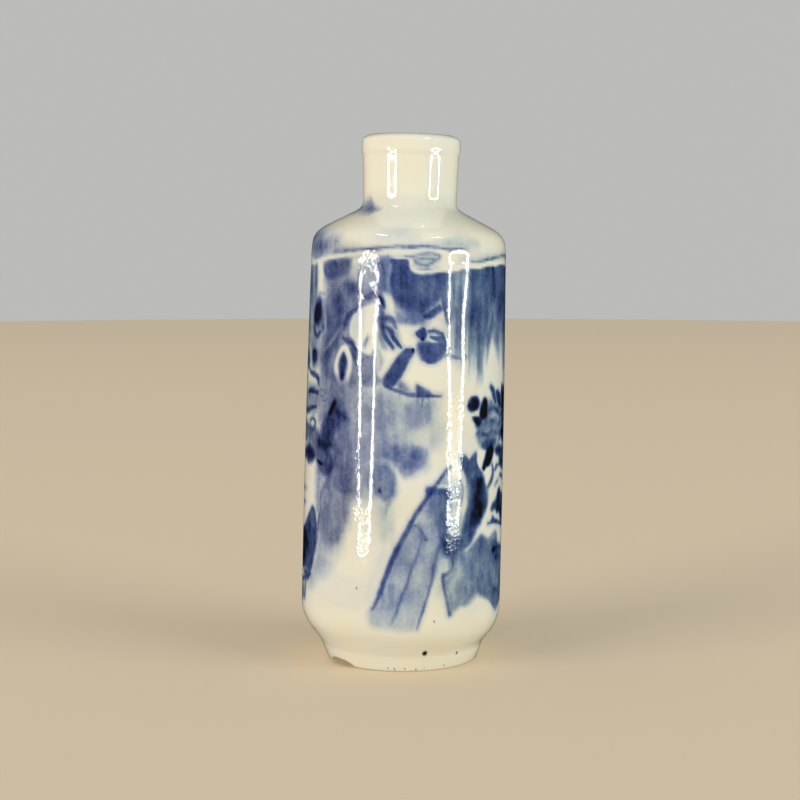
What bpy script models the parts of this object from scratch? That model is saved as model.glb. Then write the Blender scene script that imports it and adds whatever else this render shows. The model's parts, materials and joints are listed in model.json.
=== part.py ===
"""A porcelain snuff bottle: a slightly tapering cylinder with a sloping shoulder, a short
collar-like neck and a chamfered foot. It is hollow, leans a little to its right, stands on a
foot ring ground level, and has lost one chip from that ring.

Units are metres, +Z is up and the bottle's painted front faces -Y. The origin is the middle of
the underside of its bounding box.
"""

import math

import bmesh
import bpy
from mathutils import Matrix, Vector

MM = 0.001

# Driving sizes of the outside. Heights are along the bottle's own axis, radii are from it.
HEIGHT = 75.75 * MM
BODY_FOOT_RADIUS = 14.55 * MM
BODY_SHOULDER_RADIUS = 13.97 * MM
BODY_FOOT_HEIGHT = 8.2 * MM
BODY_BULGE = 0.12 * MM  # how far the side swells past the straight line between its ends
BODY_SHOULDER_HEIGHT = 59.6 * MM
SHOULDER_ROUND = 3.3 * MM
SHOULDER_SLOPE = math.radians(27.0)
NECK_BASE_RADIUS = 6.68 * MM
NECK_FILLET = 1.2 * MM
NECK_TOP_RADIUS = 6.985 * MM
NECK_TOP_HEIGHT = 72.6 * MM
LIP_RADIUS = 7.05 * MM
LIP_ROUND = 2.3 * MM  # inwards from the lip's widest place to the rim's flat
LIP_MIDDLE = 74.1 * MM  # the height of the lip's widest place
CHAMFER_ROUND = 6.0 * MM
CHAMFER_FROM_UPRIGHT = math.radians(34.0)
FOOT_TOP_RADIUS = 11.9 * MM
FOOT_TOP_HEIGHT = 2.3 * MM
FOOT_EDGE_RADIUS = 10.85 * MM
FOOT_FILLET = 1.2 * MM
FOOT_ROUND = 0.95 * MM

# Driving sizes of the inside and the underside.
WALL = 2.2 * MM
MOUTH_RADIUS = 3.5 * MM
MOUTH_ROUND = 0.55 * MM
INNER_FLOOR = 4.6 * MM
INNER_CORNER = 2.6 * MM
INNER_SHOULDER_ROUND = 2.2 * MM
INNER_NECK_ROUND = 0.9 * MM
RING_INNER_RADIUS = 8.7 * MM
RING_INNER_ROUND = 0.4 * MM
RECESS_DEPTH = 1.3 * MM
RECESS_CORNER = 0.6 * MM

# How the finished bottle departs from the turned shape.
LEAN = math.radians(1.3)
GRINDING = 0.35 * MM  # what the turned foot has below the level that it is ground to
CHIP_ANGLE = math.radians(-52.0)  # from the front, towards the bottle's left
CHIP_RADIUS = 11.15 * MM
CHIP_HEIGHT = -0.1 * MM
CHIP_HALF_SIZES = Vector((1.75, 3.3, 1.0)) * MM  # outwards, along the ring, upwards

# The block that grinds the foot level.
GROUND_CUTTER_WIDTH = 36.0 * MM
GROUND_CUTTER_DEPTH = 5.0 * MM

STEPS_ROUND = 64
ARC_STEPS = 4
SMALL_ARC_STEPS = 3
CHIP_SUBDIVISIONS = 3
MERGE_DISTANCE = 0.01 * MM

GLAZE_COLOUR = (0.74, 0.74, 0.62, 1.0)
GLAZE_ROUGHNESS = 0.12


def clear_scene():
    for old in list(bpy.data.objects):
        bpy.data.objects.remove(old)


def new_collection(name):
    collection = bpy.data.collections.new(name)
    bpy.context.scene.collection.children.link(collection)
    return collection


def glaze_material():
    material = bpy.data.materials.new("glazed_porcelain")
    material.use_nodes = True
    shader = material.node_tree.nodes["Principled BSDF"]
    shader.inputs["Base Color"].default_value = GLAZE_COLOUR
    shader.inputs["Roughness"].default_value = GLAZE_ROUGHNESS
    shader.inputs["Metallic"].default_value = 0.0
    return material


def arc(centre, radius, start, end, steps=ARC_STEPS):
    """Points (r, z) on an arc; the angles are in radians, from the +r direction."""
    found = []
    for i in range(steps + 1):
        angle = start + (end - start) * i / steps
        found.append((centre[0] + radius * math.cos(angle), centre[1] + radius * math.sin(angle)))
    return found


def round_corner(before, corner, after, radius, steps=ARC_STEPS):
    """Points (r, z) of the arc of this radius that is tangent to both sides of a corner."""
    a = (Vector(before) - Vector(corner)).normalized()
    b = (Vector(after) - Vector(corner)).normalized()
    half = a.angle(b) / 2
    centre = Vector(corner) + (a + b).normalized() * (radius / math.sin(half))
    first = Vector(corner) + a * (radius / math.tan(half)) - centre
    last = Vector(corner) + b * (radius / math.tan(half)) - centre
    start = math.atan2(first.y, first.x)
    sweep = math.atan2(first.x * last.y - first.y * last.x, first.dot(last))
    return arc(tuple(centre), radius, start, start + sweep, steps)


def shoulder_height(radius, below=0.0):
    """Height of the sloping shoulder at a radius, or of a line below it by a wall's thickness."""
    slope = math.tan(SHOULDER_SLOPE)
    outer_edge = BODY_SHOULDER_HEIGHT + SHOULDER_ROUND * math.tan((math.pi / 2 - SHOULDER_SLOPE) / 2)
    return outer_edge + (BODY_SHOULDER_RADIUS - radius) * slope - below / math.cos(SHOULDER_SLOPE)


def swelling_side(top, bottom, steps=ARC_STEPS):
    """Points between the two ends of the body's side, which is very slightly barrel-shaped."""
    found = []
    for i in range(1, steps):
        t = i / steps
        radius = top[0] + (bottom[0] - top[0]) * t + BODY_BULGE * 4 * t * (1 - t)
        found.append((radius, top[1] + (bottom[1] - top[1]) * t))
    return found


def rolled_lip():
    """From the rim's flat top over the lip's elliptical roll to its widest place."""
    rise = HEIGHT - LIP_MIDDLE
    quarter = arc((0.0, 0.0), 1.0, math.pi / 2, 0.0)
    return [(LIP_RADIUS - LIP_ROUND * (1 - r), LIP_MIDDLE + rise * z) for r, z in quarter]


def outer_profile():
    """The outside from the rim's flat top down to the ring that the bottle stands on."""
    lip = rolled_lip()
    neck_top = (NECK_TOP_RADIUS, NECK_TOP_HEIGHT)
    neck_foot = (NECK_BASE_RADIUS, shoulder_height(NECK_BASE_RADIUS))
    shoulder_edge = (BODY_SHOULDER_RADIUS, shoulder_height(BODY_SHOULDER_RADIUS))
    body_foot = (BODY_FOOT_RADIUS, BODY_FOOT_HEIGHT)
    foot_top = (FOOT_TOP_RADIUS, FOOT_TOP_HEIGHT)
    chamfer_drop = (BODY_FOOT_RADIUS - FOOT_TOP_RADIUS) / math.tan(CHAMFER_FROM_UPRIGHT)
    chamfer_edge = (BODY_FOOT_RADIUS, FOOT_TOP_HEIGHT + chamfer_drop)
    foot_edge = (FOOT_EDGE_RADIUS, -GRINDING)
    neck_fillet = round_corner(neck_top, neck_foot, shoulder_edge, NECK_FILLET)
    shoulder = round_corner(neck_foot, shoulder_edge, body_foot, SHOULDER_ROUND, 2 * ARC_STEPS)
    chamfer = round_corner(shoulder_edge, chamfer_edge, foot_top, CHAMFER_ROUND)
    side = swelling_side(shoulder[-1], chamfer[0])
    foot_fillet = round_corner(chamfer_edge, foot_top, foot_edge, FOOT_FILLET, SMALL_ARC_STEPS)
    foot_round = round_corner(foot_top, foot_edge, (RING_INNER_RADIUS, -GRINDING), FOOT_ROUND)
    return lip + [neck_top] + neck_fillet + shoulder + side + chamfer + foot_fillet + foot_round


def underside_profile():
    """From the ring's inner edge up into the shallow recess, and in to the axis."""
    recess_corner = (RING_INNER_RADIUS - RING_INNER_ROUND, RECESS_DEPTH)
    ring_middle = (RING_INNER_RADIUS, RING_INNER_ROUND - GRINDING)
    ring = arc(ring_middle, RING_INNER_ROUND, -math.pi / 2, -math.pi, SMALL_ARC_STEPS)
    recess = round_corner(ring[-1], recess_corner, (0.0, RECESS_DEPTH), RECESS_CORNER, SMALL_ARC_STEPS)
    return ring + recess + [(0.0, RECESS_DEPTH)]


def inner_profile():
    """From the axis at the inner floor, up the inside and out of the mouth to the rim's flat."""
    body_foot = BODY_FOOT_RADIUS - WALL
    body_shoulder = BODY_SHOULDER_RADIUS - WALL
    floor_corner = (body_foot, INNER_FLOOR)
    shoulder_corner = (body_shoulder, shoulder_height(body_shoulder, WALL))
    neck_corner = (MOUTH_RADIUS, shoulder_height(MOUTH_RADIUS, WALL))
    mouth_edge = (MOUTH_RADIUS, HEIGHT)
    floor = round_corner((0.0, INNER_FLOOR), floor_corner, shoulder_corner, INNER_CORNER)
    shoulder = round_corner(floor_corner, shoulder_corner, neck_corner, INNER_SHOULDER_ROUND)
    neck = round_corner(shoulder_corner, neck_corner, mouth_edge, INNER_NECK_ROUND)
    mouth = round_corner(neck_corner, mouth_edge, (LIP_RADIUS, HEIGHT), MOUTH_ROUND, SMALL_ARC_STEPS)
    return [(0.0, INNER_FLOOR)] + floor + shoulder + neck + mouth


def bottle_profile():
    """The closed half section, up the inside and down the outside, from the axis to the axis."""
    return inner_profile() + outer_profile() + underside_profile()


def middle_of_width(profile):
    """Where the middle of the leaning bottle's width lies, from where its axis meets the floor."""
    left = min(z * math.sin(LEAN) - r * math.cos(LEAN) for r, z in profile)
    right = max(z * math.sin(LEAN) + r * math.cos(LEAN) for r, z in profile)
    return (left + right) / 2


def turned_object(name, profile, collection):
    """The profile turned about the object's Z axis by a Screw modifier."""
    mesh = bpy.data.meshes.new(name)
    points = [(r, 0.0, z) for r, z in profile]
    edges = [(i, i + 1) for i in range(len(points) - 1)]
    mesh.from_pydata(points, edges, [])
    turned = bpy.data.objects.new(name, mesh)
    collection.objects.link(turned)
    screw = turned.modifiers.new("turn", "SCREW")
    screw.steps = STEPS_ROUND
    screw.render_steps = STEPS_ROUND
    screw.use_merge_vertices = True
    screw.merge_threshold = MERGE_DISTANCE
    screw.use_smooth_shade = True
    return turned


def as_cutter(cutter):
    cutter.hide_render = True
    cutter.display_type = "WIRE"
    return cutter


def ground_cutter(collection):
    """A block whose top is the level that the foot ring is ground to."""
    mesh = bpy.data.meshes.new("cutter_ground")
    shape = bmesh.new()
    size = Matrix.Diagonal((GROUND_CUTTER_WIDTH, GROUND_CUTTER_WIDTH, GROUND_CUTTER_DEPTH, 1.0))
    middle = Matrix.Translation((0.0, 0.0, -GROUND_CUTTER_DEPTH / 2))
    bmesh.ops.create_cube(shape, size=1.0, matrix=middle @ size)
    shape.to_mesh(mesh)
    shape.free()
    cutter = bpy.data.objects.new("cutter_ground", mesh)
    collection.objects.link(cutter)
    return as_cutter(cutter)


def chip_cutter(axis_x, collection):
    """A shallow shell-shaped bite out of the foot ring's outer edge."""
    outwards = Vector((math.sin(CHIP_ANGLE), -math.cos(CHIP_ANGLE), 0.0))
    place = Vector((axis_x, 0.0, CHIP_HEIGHT)) + outwards * CHIP_RADIUS
    turn = Matrix.Rotation(CHIP_ANGLE - math.pi / 2, 4, "Z")
    mesh = bpy.data.meshes.new("cutter_chip")
    shape = bmesh.new()
    size = Matrix.Diagonal((*CHIP_HALF_SIZES, 1.0))
    bmesh.ops.create_icosphere(shape, subdivisions=CHIP_SUBDIVISIONS, radius=1.0, matrix=size)
    shape.to_mesh(mesh)
    shape.free()
    cutter = bpy.data.objects.new("cutter_chip", mesh)
    cutter.matrix_world = Matrix.Translation(place) @ turn
    collection.objects.link(cutter)
    return as_cutter(cutter)


def cut(target, cutter):
    boolean = target.modifiers.new(cutter.name, "BOOLEAN")
    boolean.operation = "DIFFERENCE"
    boolean.solver = "EXACT"
    boolean.object = cutter


def build_bottle():
    parts = new_collection("snuff_bottle")
    cutters = new_collection("cutters")
    profile = bottle_profile()
    axis_x = -middle_of_width(profile)
    bottle = turned_object("bottle", profile, parts)
    bottle.location = (axis_x, 0.0, 0.0)
    bottle.rotation_euler = (0.0, LEAN, 0.0)
    bottle.data.materials.append(glaze_material())
    cut(bottle, ground_cutter(cutters))
    cut(bottle, chip_cutter(axis_x, cutters))
    return bottle


clear_scene()
build_bottle()
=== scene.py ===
"""The look of the blue-and-white porcelain snuff bottle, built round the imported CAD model.

One mesh stands for the CAD solid: the same turned, hollow, slightly leaning form with fine rows
and columns, a hand-thrown unevenness and the foot's chip. Each vertex of its outside carries how
much cobalt lies there under the glaze, and the glaze material reads that. The painting is made by
functions that lay washes and brush strokes, in millimetres on the unrolled wall.

Lengths in the code are millimetres until a mesh or an object is made. +Z is up, the painted front
faces -Y, and the origin is the middle of the underside of the CAD box.
"""

import json
import math

import bpy
import numpy as np
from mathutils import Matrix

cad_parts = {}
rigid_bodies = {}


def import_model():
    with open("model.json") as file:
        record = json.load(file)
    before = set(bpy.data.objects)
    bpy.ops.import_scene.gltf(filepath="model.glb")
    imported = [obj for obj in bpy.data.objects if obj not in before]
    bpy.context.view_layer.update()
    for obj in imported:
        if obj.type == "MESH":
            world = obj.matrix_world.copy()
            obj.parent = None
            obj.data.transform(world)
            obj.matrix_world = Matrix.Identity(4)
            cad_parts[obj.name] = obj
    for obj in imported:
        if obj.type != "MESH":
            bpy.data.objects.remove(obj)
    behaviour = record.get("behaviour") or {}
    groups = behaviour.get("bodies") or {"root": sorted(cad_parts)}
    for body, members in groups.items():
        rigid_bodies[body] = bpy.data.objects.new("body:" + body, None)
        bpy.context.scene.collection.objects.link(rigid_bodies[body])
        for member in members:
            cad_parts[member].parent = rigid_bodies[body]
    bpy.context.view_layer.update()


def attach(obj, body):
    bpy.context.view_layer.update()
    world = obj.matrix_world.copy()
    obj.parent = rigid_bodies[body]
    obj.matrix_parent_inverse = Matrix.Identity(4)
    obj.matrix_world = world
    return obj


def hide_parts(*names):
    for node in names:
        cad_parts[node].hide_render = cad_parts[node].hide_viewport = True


MM = 0.001

# The outside. Heights are along the bottle's axis, radii are from it.
HEIGHT = 75.75
BODY_FOOT_RADIUS = 14.55
BODY_SHOULDER_RADIUS = 13.97
BODY_FOOT_HEIGHT = 8.2
BODY_BULGE = 0.12
BODY_SHOULDER_HEIGHT = 59.6
SHOULDER_ROUND = 3.3
SHOULDER_CURVE = (3.2, 1.93)  # the reach and the tightness of the curve from the side to the shoulder
SHOULDER_SLOPE = math.radians(27.0)
NECK_BASE_RADIUS = 6.68
NECK_CURVE = (1.7, 2.34)  # the reach and the tightness of the curve from the neck to the shoulder
# Radii and heights up the neck, which widens a little on its way and steps out under the lip.
NECK_SWELLING = (
    (6.71, 67.1), (6.79, 69.9), (6.88, 72.0), (6.895, 72.5), (6.91, 72.7), (6.99, 73.0),
    (7.065, 73.3), (7.084, 73.5), (7.085, 73.9),
)
LIP_RADIUS = 7.085
LIP_ROUND = 1.9  # inwards from the lip's widest place to the rim's flat
LIP_MIDDLE = 74.75  # the height of the lip's widest place
CHAMFER_ROUND = 6.0
CHAMFER_FROM_UPRIGHT = math.radians(34.0)
FOOT_TOP_RADIUS = 11.9
FOOT_TOP_HEIGHT = 2.3
FOOT_EDGE_RADIUS = 10.85
FOOT_FILLET = 1.2
FOOT_ROUND = 0.95

# The inside and the underside.
WALL = 2.2
MOUTH_RADIUS = 3.5
MOUTH_ROUND = 0.55
INNER_FLOOR = 4.6
INNER_CORNER = 2.6
INNER_SHOULDER_ROUND = 2.2
INNER_NECK_ROUND = 0.9
RING_INNER_RADIUS = 8.7
RING_INNER_ROUND = 0.4
RECESS_DEPTH = 1.3
RECESS_CORNER = 0.6
AXIS_GAP = 0.8  # the innermost ring of faces closes on the axis from this radius

# How the finished bottle departs from the turned shape.
LEAN = math.radians(1.3)
GRINDING = 0.35  # how much the ring is ground off below the turned shape's zero
CHIP_ANGLE = math.radians(-52.0)
CHIP_RADIUS = 11.15
CHIP_HEIGHT = -0.1
CHIP_HALF_SIZES = (1.75, 3.3, 1.0)  # outwards, along the ring, upwards
CHIP_UPWARDS = 0.75  # the chip's face leans this much up and this much in to the axis
CHIP_INWARDS = 0.66
CHIP_FLAKES = 0.16  # how uneven the broken face is, as a share of its depth
FOOT_SHIFT = 0.3  # the foot sits this far to the right of the leaning axis
FOOT_SHIFT_TOP = 8.0
GROOVE_DEPTH = 0.22  # the hollow above the foot is this much deeper on the right
GROOVE_HEIGHT = 2.9
GROOVE_HALF_WIDTH = 0.9
THROWING_WAVE = 0.03  # the slow unevenness that throwing leaves
GLAZE_RIPPLE = 0.006
GLAZE_GRAIN = 0.0012
BARE_RING = 0.8  # how bare of glaze the ring that touches the ground is, where the chip is 1

# The mesh's columns, by the angle from the front that each band of them ends at, and its rows.
COLUMN_BANDS = ((57.0, 0.75), (105.0, 1.1), (180.0, 2.2))
COARSE_SHARE = 4  # the inside has one column for so many outside
ARC_STEPS = 24
WIDE_ROWS = 2.2  # the rows of the inside and the underside, and those near the axis
AXIS_ROWS = 0.8
AXIS_ROWS_WITHIN = 6.0
# Where the inside, the outside and the underside lie up the height of the bake's UV square.
UV_STRIPS = ((0.0, 0.06), (0.13, 1.0), (0.065, 0.125))

# The unrolled wall that the painting is laid out on, and the heights that it is worked out for.
ROUND_MM = math.tau * 14.4
PAINTED_FROM = 4.0
PAINTED_TO = 68.5

# Black specks of iron on the wall and the foot: across and up on the unrolled wall, and radius.
IRON_SPOTS = (
    (3.9, 2.95, 0.5), (10.4, 2.4, 0.24), (4.7, 8.0, 0.15), (-6.4, 12.2, 0.17), (-2.4, 0.55, 0.13),
    (-1.3, 0.4, 0.17), (0.6, 0.5, 0.13), (2.6, 0.35, 0.16), (4.1, 0.6, 0.12), (8.1, 0.7, 0.14),
)

# Places where the glaze crawled and wrinkled: across, up, half width, half height and strength.
WRINKLES = (
    (-6.0, 57.8, 2.2, 1.9, 1.0), (-4.8, 54.2, 0.9, 0.8, 1.0), (-5.0, 48.5, 0.9, 2.5, 0.35),
    (-7.0, 30.5, 0.9, 3.0, 0.5), (-6.8, 25.0, 1.2, 1.6, 0.5), (-6.4, 22.8, 2.0, 1.3, 1.0),
    (-6.2, 18.8, 2.2, 2.4, 0.3), (7.2, 57.4, 1.4, 0.9, 0.4), (5.8, 45.3, 0.9, 1.0, 0.7),
    (7.2, 37.0, 1.8, 5.2, 0.5), (7.2, 30.6, 1.9, 2.2, 0.9), (7.2, 26.6, 1.6, 1.7, 0.9),
    (7.4, 20.8, 1.4, 1.3, 0.5),
)

# The camera, the studio and its lights.
SENSOR = 36.0
LENS = 77.625
CAMERA_PLACE = (-0.41, -250.0, 61.75)
CAMERA_PITCH = math.radians(5.53)
ROOM_COLOUR = (0.86, 0.86, 0.84)
ROOM_STRENGTH = 0.58
FLOOR_COLOUR = (0.83, 0.70, 0.53, 1.0)
FLOOR_RADIUS = 1000.0
FLOOR_SIDES = 180
NEAREST_SEEN = 10.0
FARTHEST_SEEN = 20000.0
SOFT_DISTANCE = 2500.0
SOFT_WIDTH = 1500.0
SOFT_HEIGHT = 1857.0
STRIP_DISTANCE = 200.0
STRIP_TOP_BAND = 8.0
STRIP_TOP_CORNER = 18.0
STRIP_CORNER_SHARE = 0.85  # how much of each half of the width the rounded corners take up
STRIP_RIM_POWER = 34.0
STRIP_CORE_POWER = 0.35
STRIP_WHITE = (1.0, 0.98, 0.94, 1.0)
STRIP_WARM = (1.0, 0.93, 0.8, 1.0)
SHOULDER_SPARK_HEIGHT = 61.0


# ---- The painting, in millimetres on the unrolled wall: across is to the right, up is height ----

MOTTLE_ROWS = 160
TINY = 1e-12
BLEED = 0.2  # the share of a stroke's cobalt that has spread beyond its edge
MOST_BLEED = 0.22
BLEED_REACH = 0.8  # how far it has spread
SOFTENING = 1.5  # the glaze softens every edge by this much
OVERLAP = 0.3  # the share of the paler of two layers that adds to the darker
HAZE = 0.025  # the trace of cobalt that lies all over the painted band
HAZE_FROM = 6.5
HAZE_TO = 62.5
CREASE_PAINTED_SHADE = 0.06  # painted shade: a little cobalt darkens the crease round the foot of the neck


def mottle(across, up, cell_across, cell_up, seed):
    """Smooth noise from -1 to 1 that closes on itself round the bottle."""
    cells = max(3, round(ROUND_MM / cell_across))
    table = np.random.default_rng(seed).uniform(-1.0, 1.0, (cells, MOTTLE_ROWS))
    x = across / ROUND_MM * cells
    y = up / cell_up
    column = np.floor(x).astype(int)
    row = np.floor(y).astype(int)
    fx = x - column
    fy = y - row
    fx = fx * fx * (3 - 2 * fx)
    fy = fy * fy * (3 - 2 * fy)
    left, right = column % cells, (column + 1) % cells
    low, high = row % MOTTLE_ROWS, (row + 1) % MOTTLE_ROWS
    bottom = table[left, low] * (1 - fx) + table[right, low] * fx
    top = table[left, high] * (1 - fx) + table[right, high] * fx
    return bottom * (1 - fy) + top * fy


def ramp(value, low, high):
    """0 below low, 1 above high, and a smooth rise between."""
    t = np.clip((value - low) / (high - low), 0.0, 1.0)
    return t * t * (3 - 2 * t)


def smooth_curve(points, closed, steps=6):
    """A Catmull-Rom curve through rows of numbers, of which the first two are a place."""
    rows = np.array(points, float)
    if len(rows) == 2 and not closed:
        t = np.linspace(0, 1, steps + 1)[:, None]
        return rows[0] * (1 - t) + rows[1] * t
    if closed:
        ring = np.vstack([rows[-1:], rows, rows[:2]])
    else:
        ring = np.vstack([2 * rows[:1] - rows[1:2], rows, 2 * rows[-1:] - rows[-2:-1]])
    t = (np.arange(steps) / steps)[:, None]
    found = []
    for a, b, c, d in zip(ring, ring[1:], ring[2:], ring[3:]):
        bend = 2 * b + (c - a) * t + (2 * a - 5 * b + 4 * c - d) * t**2 + (3 * b - a - 3 * c + d) * t**3
        found.append(bend / 2)
    if not closed:
        found.append(rows[-1:])
    return np.vstack(found)


def beside(x, y, start, end):
    """Places beside a straight line: how far along it they are, as a share, and how far from it."""
    ux, uy = end[0] - start[0], end[1] - start[1]
    t = np.clip(((x - start[0]) * ux + (y - start[1]) * uy) / (ux * ux + uy * uy + TINY), 0, 1)
    return t, np.hypot(x - start[0] - t * ux, y - start[1] - t * uy)


class Painting:
    """Cobalt on the wall, with a little painted shade in the crease round the neck's foot: how much lies at
    each of many places.
    """

    def __init__(self, across, up):
        hazy = ramp(up, HAZE_FROM, HAZE_FROM + 3) * ramp(-up, -HAZE_TO, 2 - HAZE_TO)
        self.cobalt = HAZE * (1 + mottle(across, up, 5.0, 4.0, 19)) * hazy
        # Painted shade: the crease round the foot of the neck is darkened.
        self.cobalt += CREASE_PAINTED_SHADE * ramp(up, 62.5, 64.5) * ramp(-up, -68.0, -66.0)
        shake = [0.14 * mottle(across, up, 2.2, 2.2, 11 + i) for i in range(2)]
        for cell, reach in ((0.9, 0.045), (0.42, 0.03)):
            shake = [s + reach * mottle(across, up, cell, cell, 13 + i) for i, s in enumerate(shake)]
        self.shaky_across = across + shake[0]
        self.shaky_up = up + shake[1]
        self.pooling = 1 + 0.15 * mottle(across, up, 1.9, 2.3, 20)
        self.pooling += 0.12 * mottle(across, up, 0.8, 1.0, 21)
        self.wetness = 1 + 0.55 * mottle(across, up, 2.9, 2.4, 17)
        self.wetness += 0.25 * mottle(across, up, 1.1, 1.1, 18)

    def near(self, outline, margin):
        """The places near an outline, and where they are, on the outline's own turn of the bottle."""
        middle = (outline[:, 0].min() + outline[:, 0].max()) / 2
        x = (self.shaky_across - middle + ROUND_MM / 2) % ROUND_MM - ROUND_MM / 2 + middle
        y = self.shaky_up
        inside = (x > outline[:, 0].min() - margin) & (x < outline[:, 0].max() + margin)
        inside &= (y > outline[:, 1].min() - margin) & (y < outline[:, 1].max() + margin)
        chosen = np.nonzero(inside)[0]
        return chosen, x[chosen], y[chosen]

    def area(self, points, soft):
        """Places, and how far each is inside a smooth closed outline, from 0 to 1, with its depth."""
        outline = smooth_curve(points, True)
        chosen, x, y = self.near(outline, max(3 * soft, BLEED_REACH))
        distance = np.full(len(x), np.inf)
        crossings = np.zeros(len(x), int)
        for start, end in zip(outline, np.roll(outline, -1, axis=0)):
            _, gap = beside(x, y, start, end)
            distance = np.minimum(distance, gap)
            (ax, ay), (bx, by) = start, end
            spans = (ay > y) != (by > y)
            crossings += spans & (x < ax + (y - ay) / ((by - ay) or TINY) * (bx - ax))
        depth = np.where(crossings % 2 == 1, distance, -distance)
        return chosen, self.edge(chosen, depth, soft), depth

    def edge(self, chosen, depth, soft):
        """From 0 outside an edge to 1 inside it, over a width that varies with how wet the brush was."""
        reach = SOFTENING * soft * self.wetness[chosen]
        return ramp(depth, -reach, reach)

    def bled(self, depth, amount):
        """The pale halo that cobalt leaves round a stroke."""
        return min(BLEED * amount, MOST_BLEED) * ramp(depth, -BLEED_REACH, 0)

    def add(self, chosen, amount):
        """Lays cobalt over what is there: the darker shows, and a little of the paler adds to it."""
        old = self.cobalt[chosen]
        self.cobalt[chosen] = np.maximum(old, amount) + OVERLAP * np.clip(amount, -1, old)

    def wash(self, points, amount, soft=0.35, rim=0.0):
        """A filled patch, softer at its edge the thinner it is. Rim darkens its dried edge."""
        chosen, cover, depth = self.area(points, soft * (2.3 - min(1.3, abs(amount))))
        pooled = 1 + rim * np.exp(-((depth - 0.35) / 0.35) ** 2)
        laid = amount * cover * pooled * self.pooling[chosen]
        self.add(chosen, np.maximum(laid, self.bled(depth, amount)))

    def white(self, points, soft=0.25, left=0.0):
        """A patch that is kept white, or has a share of its cobalt left."""
        chosen, cover, _ = self.area(points, soft)
        self.cobalt[chosen] *= 1 - cover * (1 - left)

    def stroke_cover(self, points, widths, soft):
        """Places along a stroke, how far each is inside it, from 0 to 1, and its depth."""
        count = len(points)
        spread = np.interp(np.linspace(0, 1, count), np.linspace(0, 1, len(widths)), widths)
        line = smooth_curve([(*p, w / 2) for p, w in zip(points, spread)], False)
        chosen, x, y = self.near(line, max(widths) / 2 + max(3 * soft, BLEED_REACH))
        depth = np.full(len(x), -np.inf)
        for start, end in zip(line, line[1:]):
            t, gap = beside(x, y, start, end)
            depth = np.maximum(depth, start[2] + (end[2] - start[2]) * t - gap)
        return chosen, self.edge(chosen, depth, soft), depth

    def stroke(self, points, widths, amount, soft=0.14):
        """A brush stroke, whose width runs evenly through the widths given."""
        chosen, cover, depth = self.stroke_cover(points, widths, soft)
        self.add(chosen, np.maximum(amount * cover, self.bled(depth, amount)))

    def white_stroke(self, points, widths, soft=0.16, left=0.0):
        """A line that is kept white, or has a share of its cobalt left."""
        chosen, cover, _ = self.stroke_cover(points, widths, soft)
        self.cobalt[chosen] *= 1 - cover * (1 - left)

    def spot(self, across, up, wide, high, amount, soft=0.15):
        """A single touch of the brush's tip, round or oval."""
        half_wide, half_high = wide / 2, high / 2
        points = []
        for i in range(8):
            angle = math.tau * i / 8
            points.append((across + half_wide * math.cos(angle), up + half_high * math.sin(angle)))
        self.wash(points, amount, soft)


# ---- The front: two figures below a cliff, between trees and leaves ----

# The height that the cliff's underside has at each place across.
CLIFF_FOOT = (
    (-3, 54), (-2, 52.4), (0, 51.2), (2, 50.9), (3.2, 51.8), (4.8, 52.8), (6, 47.6), (9, 45.4), (10.5, 44),
    (12, 44), (13.2, 46.8), (14.5, 49.2), (16, 47.2), (19, 44), (22, 44), (26, 46), (30, 50), (34, 56),
)

# Dabs of the brush that make the foliage on the right: across, up, length, tilt, width and cobalt.
LEAF_TOUCHES = (
    (14.4, 37.3, 2.2, 10, 0.7, 1.15), (16.4, 36.9, 2.0, -25, 0.8, 1.25), (18.6, 36.4, 2.4, 15, 0.9, 1.5),
    (13.2, 36.3, 1.4, 60, 0.7, 1.0), (15.2, 35.5, 2.0, -10, 0.8, 1.1), (17.6, 35.1, 2.2, 20, 0.8, 1.35),
    (20.2, 35.4, 2.2, -15, 1.0, 1.5), (11.6, 34.2, 1.3, 25, 0.6, 0.8), (12.6, 33.7, 1.8, -12, 0.7, 1.05),
    (14.4, 34.0, 1.6, 35, 0.6, 1.2), (16.2, 33.8, 1.8, -20, 0.7, 1.1), (18.8, 33.7, 2.6, 8, 0.9, 1.6),
    (17.6, 32.7, 1.6, 30, 0.6, 1.2), (19.4, 29.2, 3.4, 4, 0.9, 1.5), (16.6, 28.8, 1.6, 20, 0.6, 1.2),
    (19.2, 27.2, 2.4, -18, 0.6, 1.2), (16.8, 26.6, 1.6, 35, 0.4, 0.9),
)

# Wet strokes down the rocks on the right: top, bottom and width.
ROCK_STROKES = (
    ((11, 15), (12.6, 11.7), 0.9), ((12.4, 15), (13.8, 11.5), 0.8), ((14.5, 14), (15.3, 12.2), 0.8),
    ((9.6, 12.4), (10.4, 11), 0.6), ((15.8, 15.4), (18.2, 13), 1.0), ((17.6, 13.8), (20, 11.6), 0.9),
)


def paint_dab(p, across, up, reach, turn, widths, amount, soft):
    """One dab of the brush, so long to each side of its middle, and bowed a little upwards."""
    dx, dy = reach * math.cos(turn), reach * math.sin(turn)
    p.stroke([(across - dx, up - dy), (across, up + 0.1), (across + dx, up + dy)], widths, amount, soft)


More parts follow.
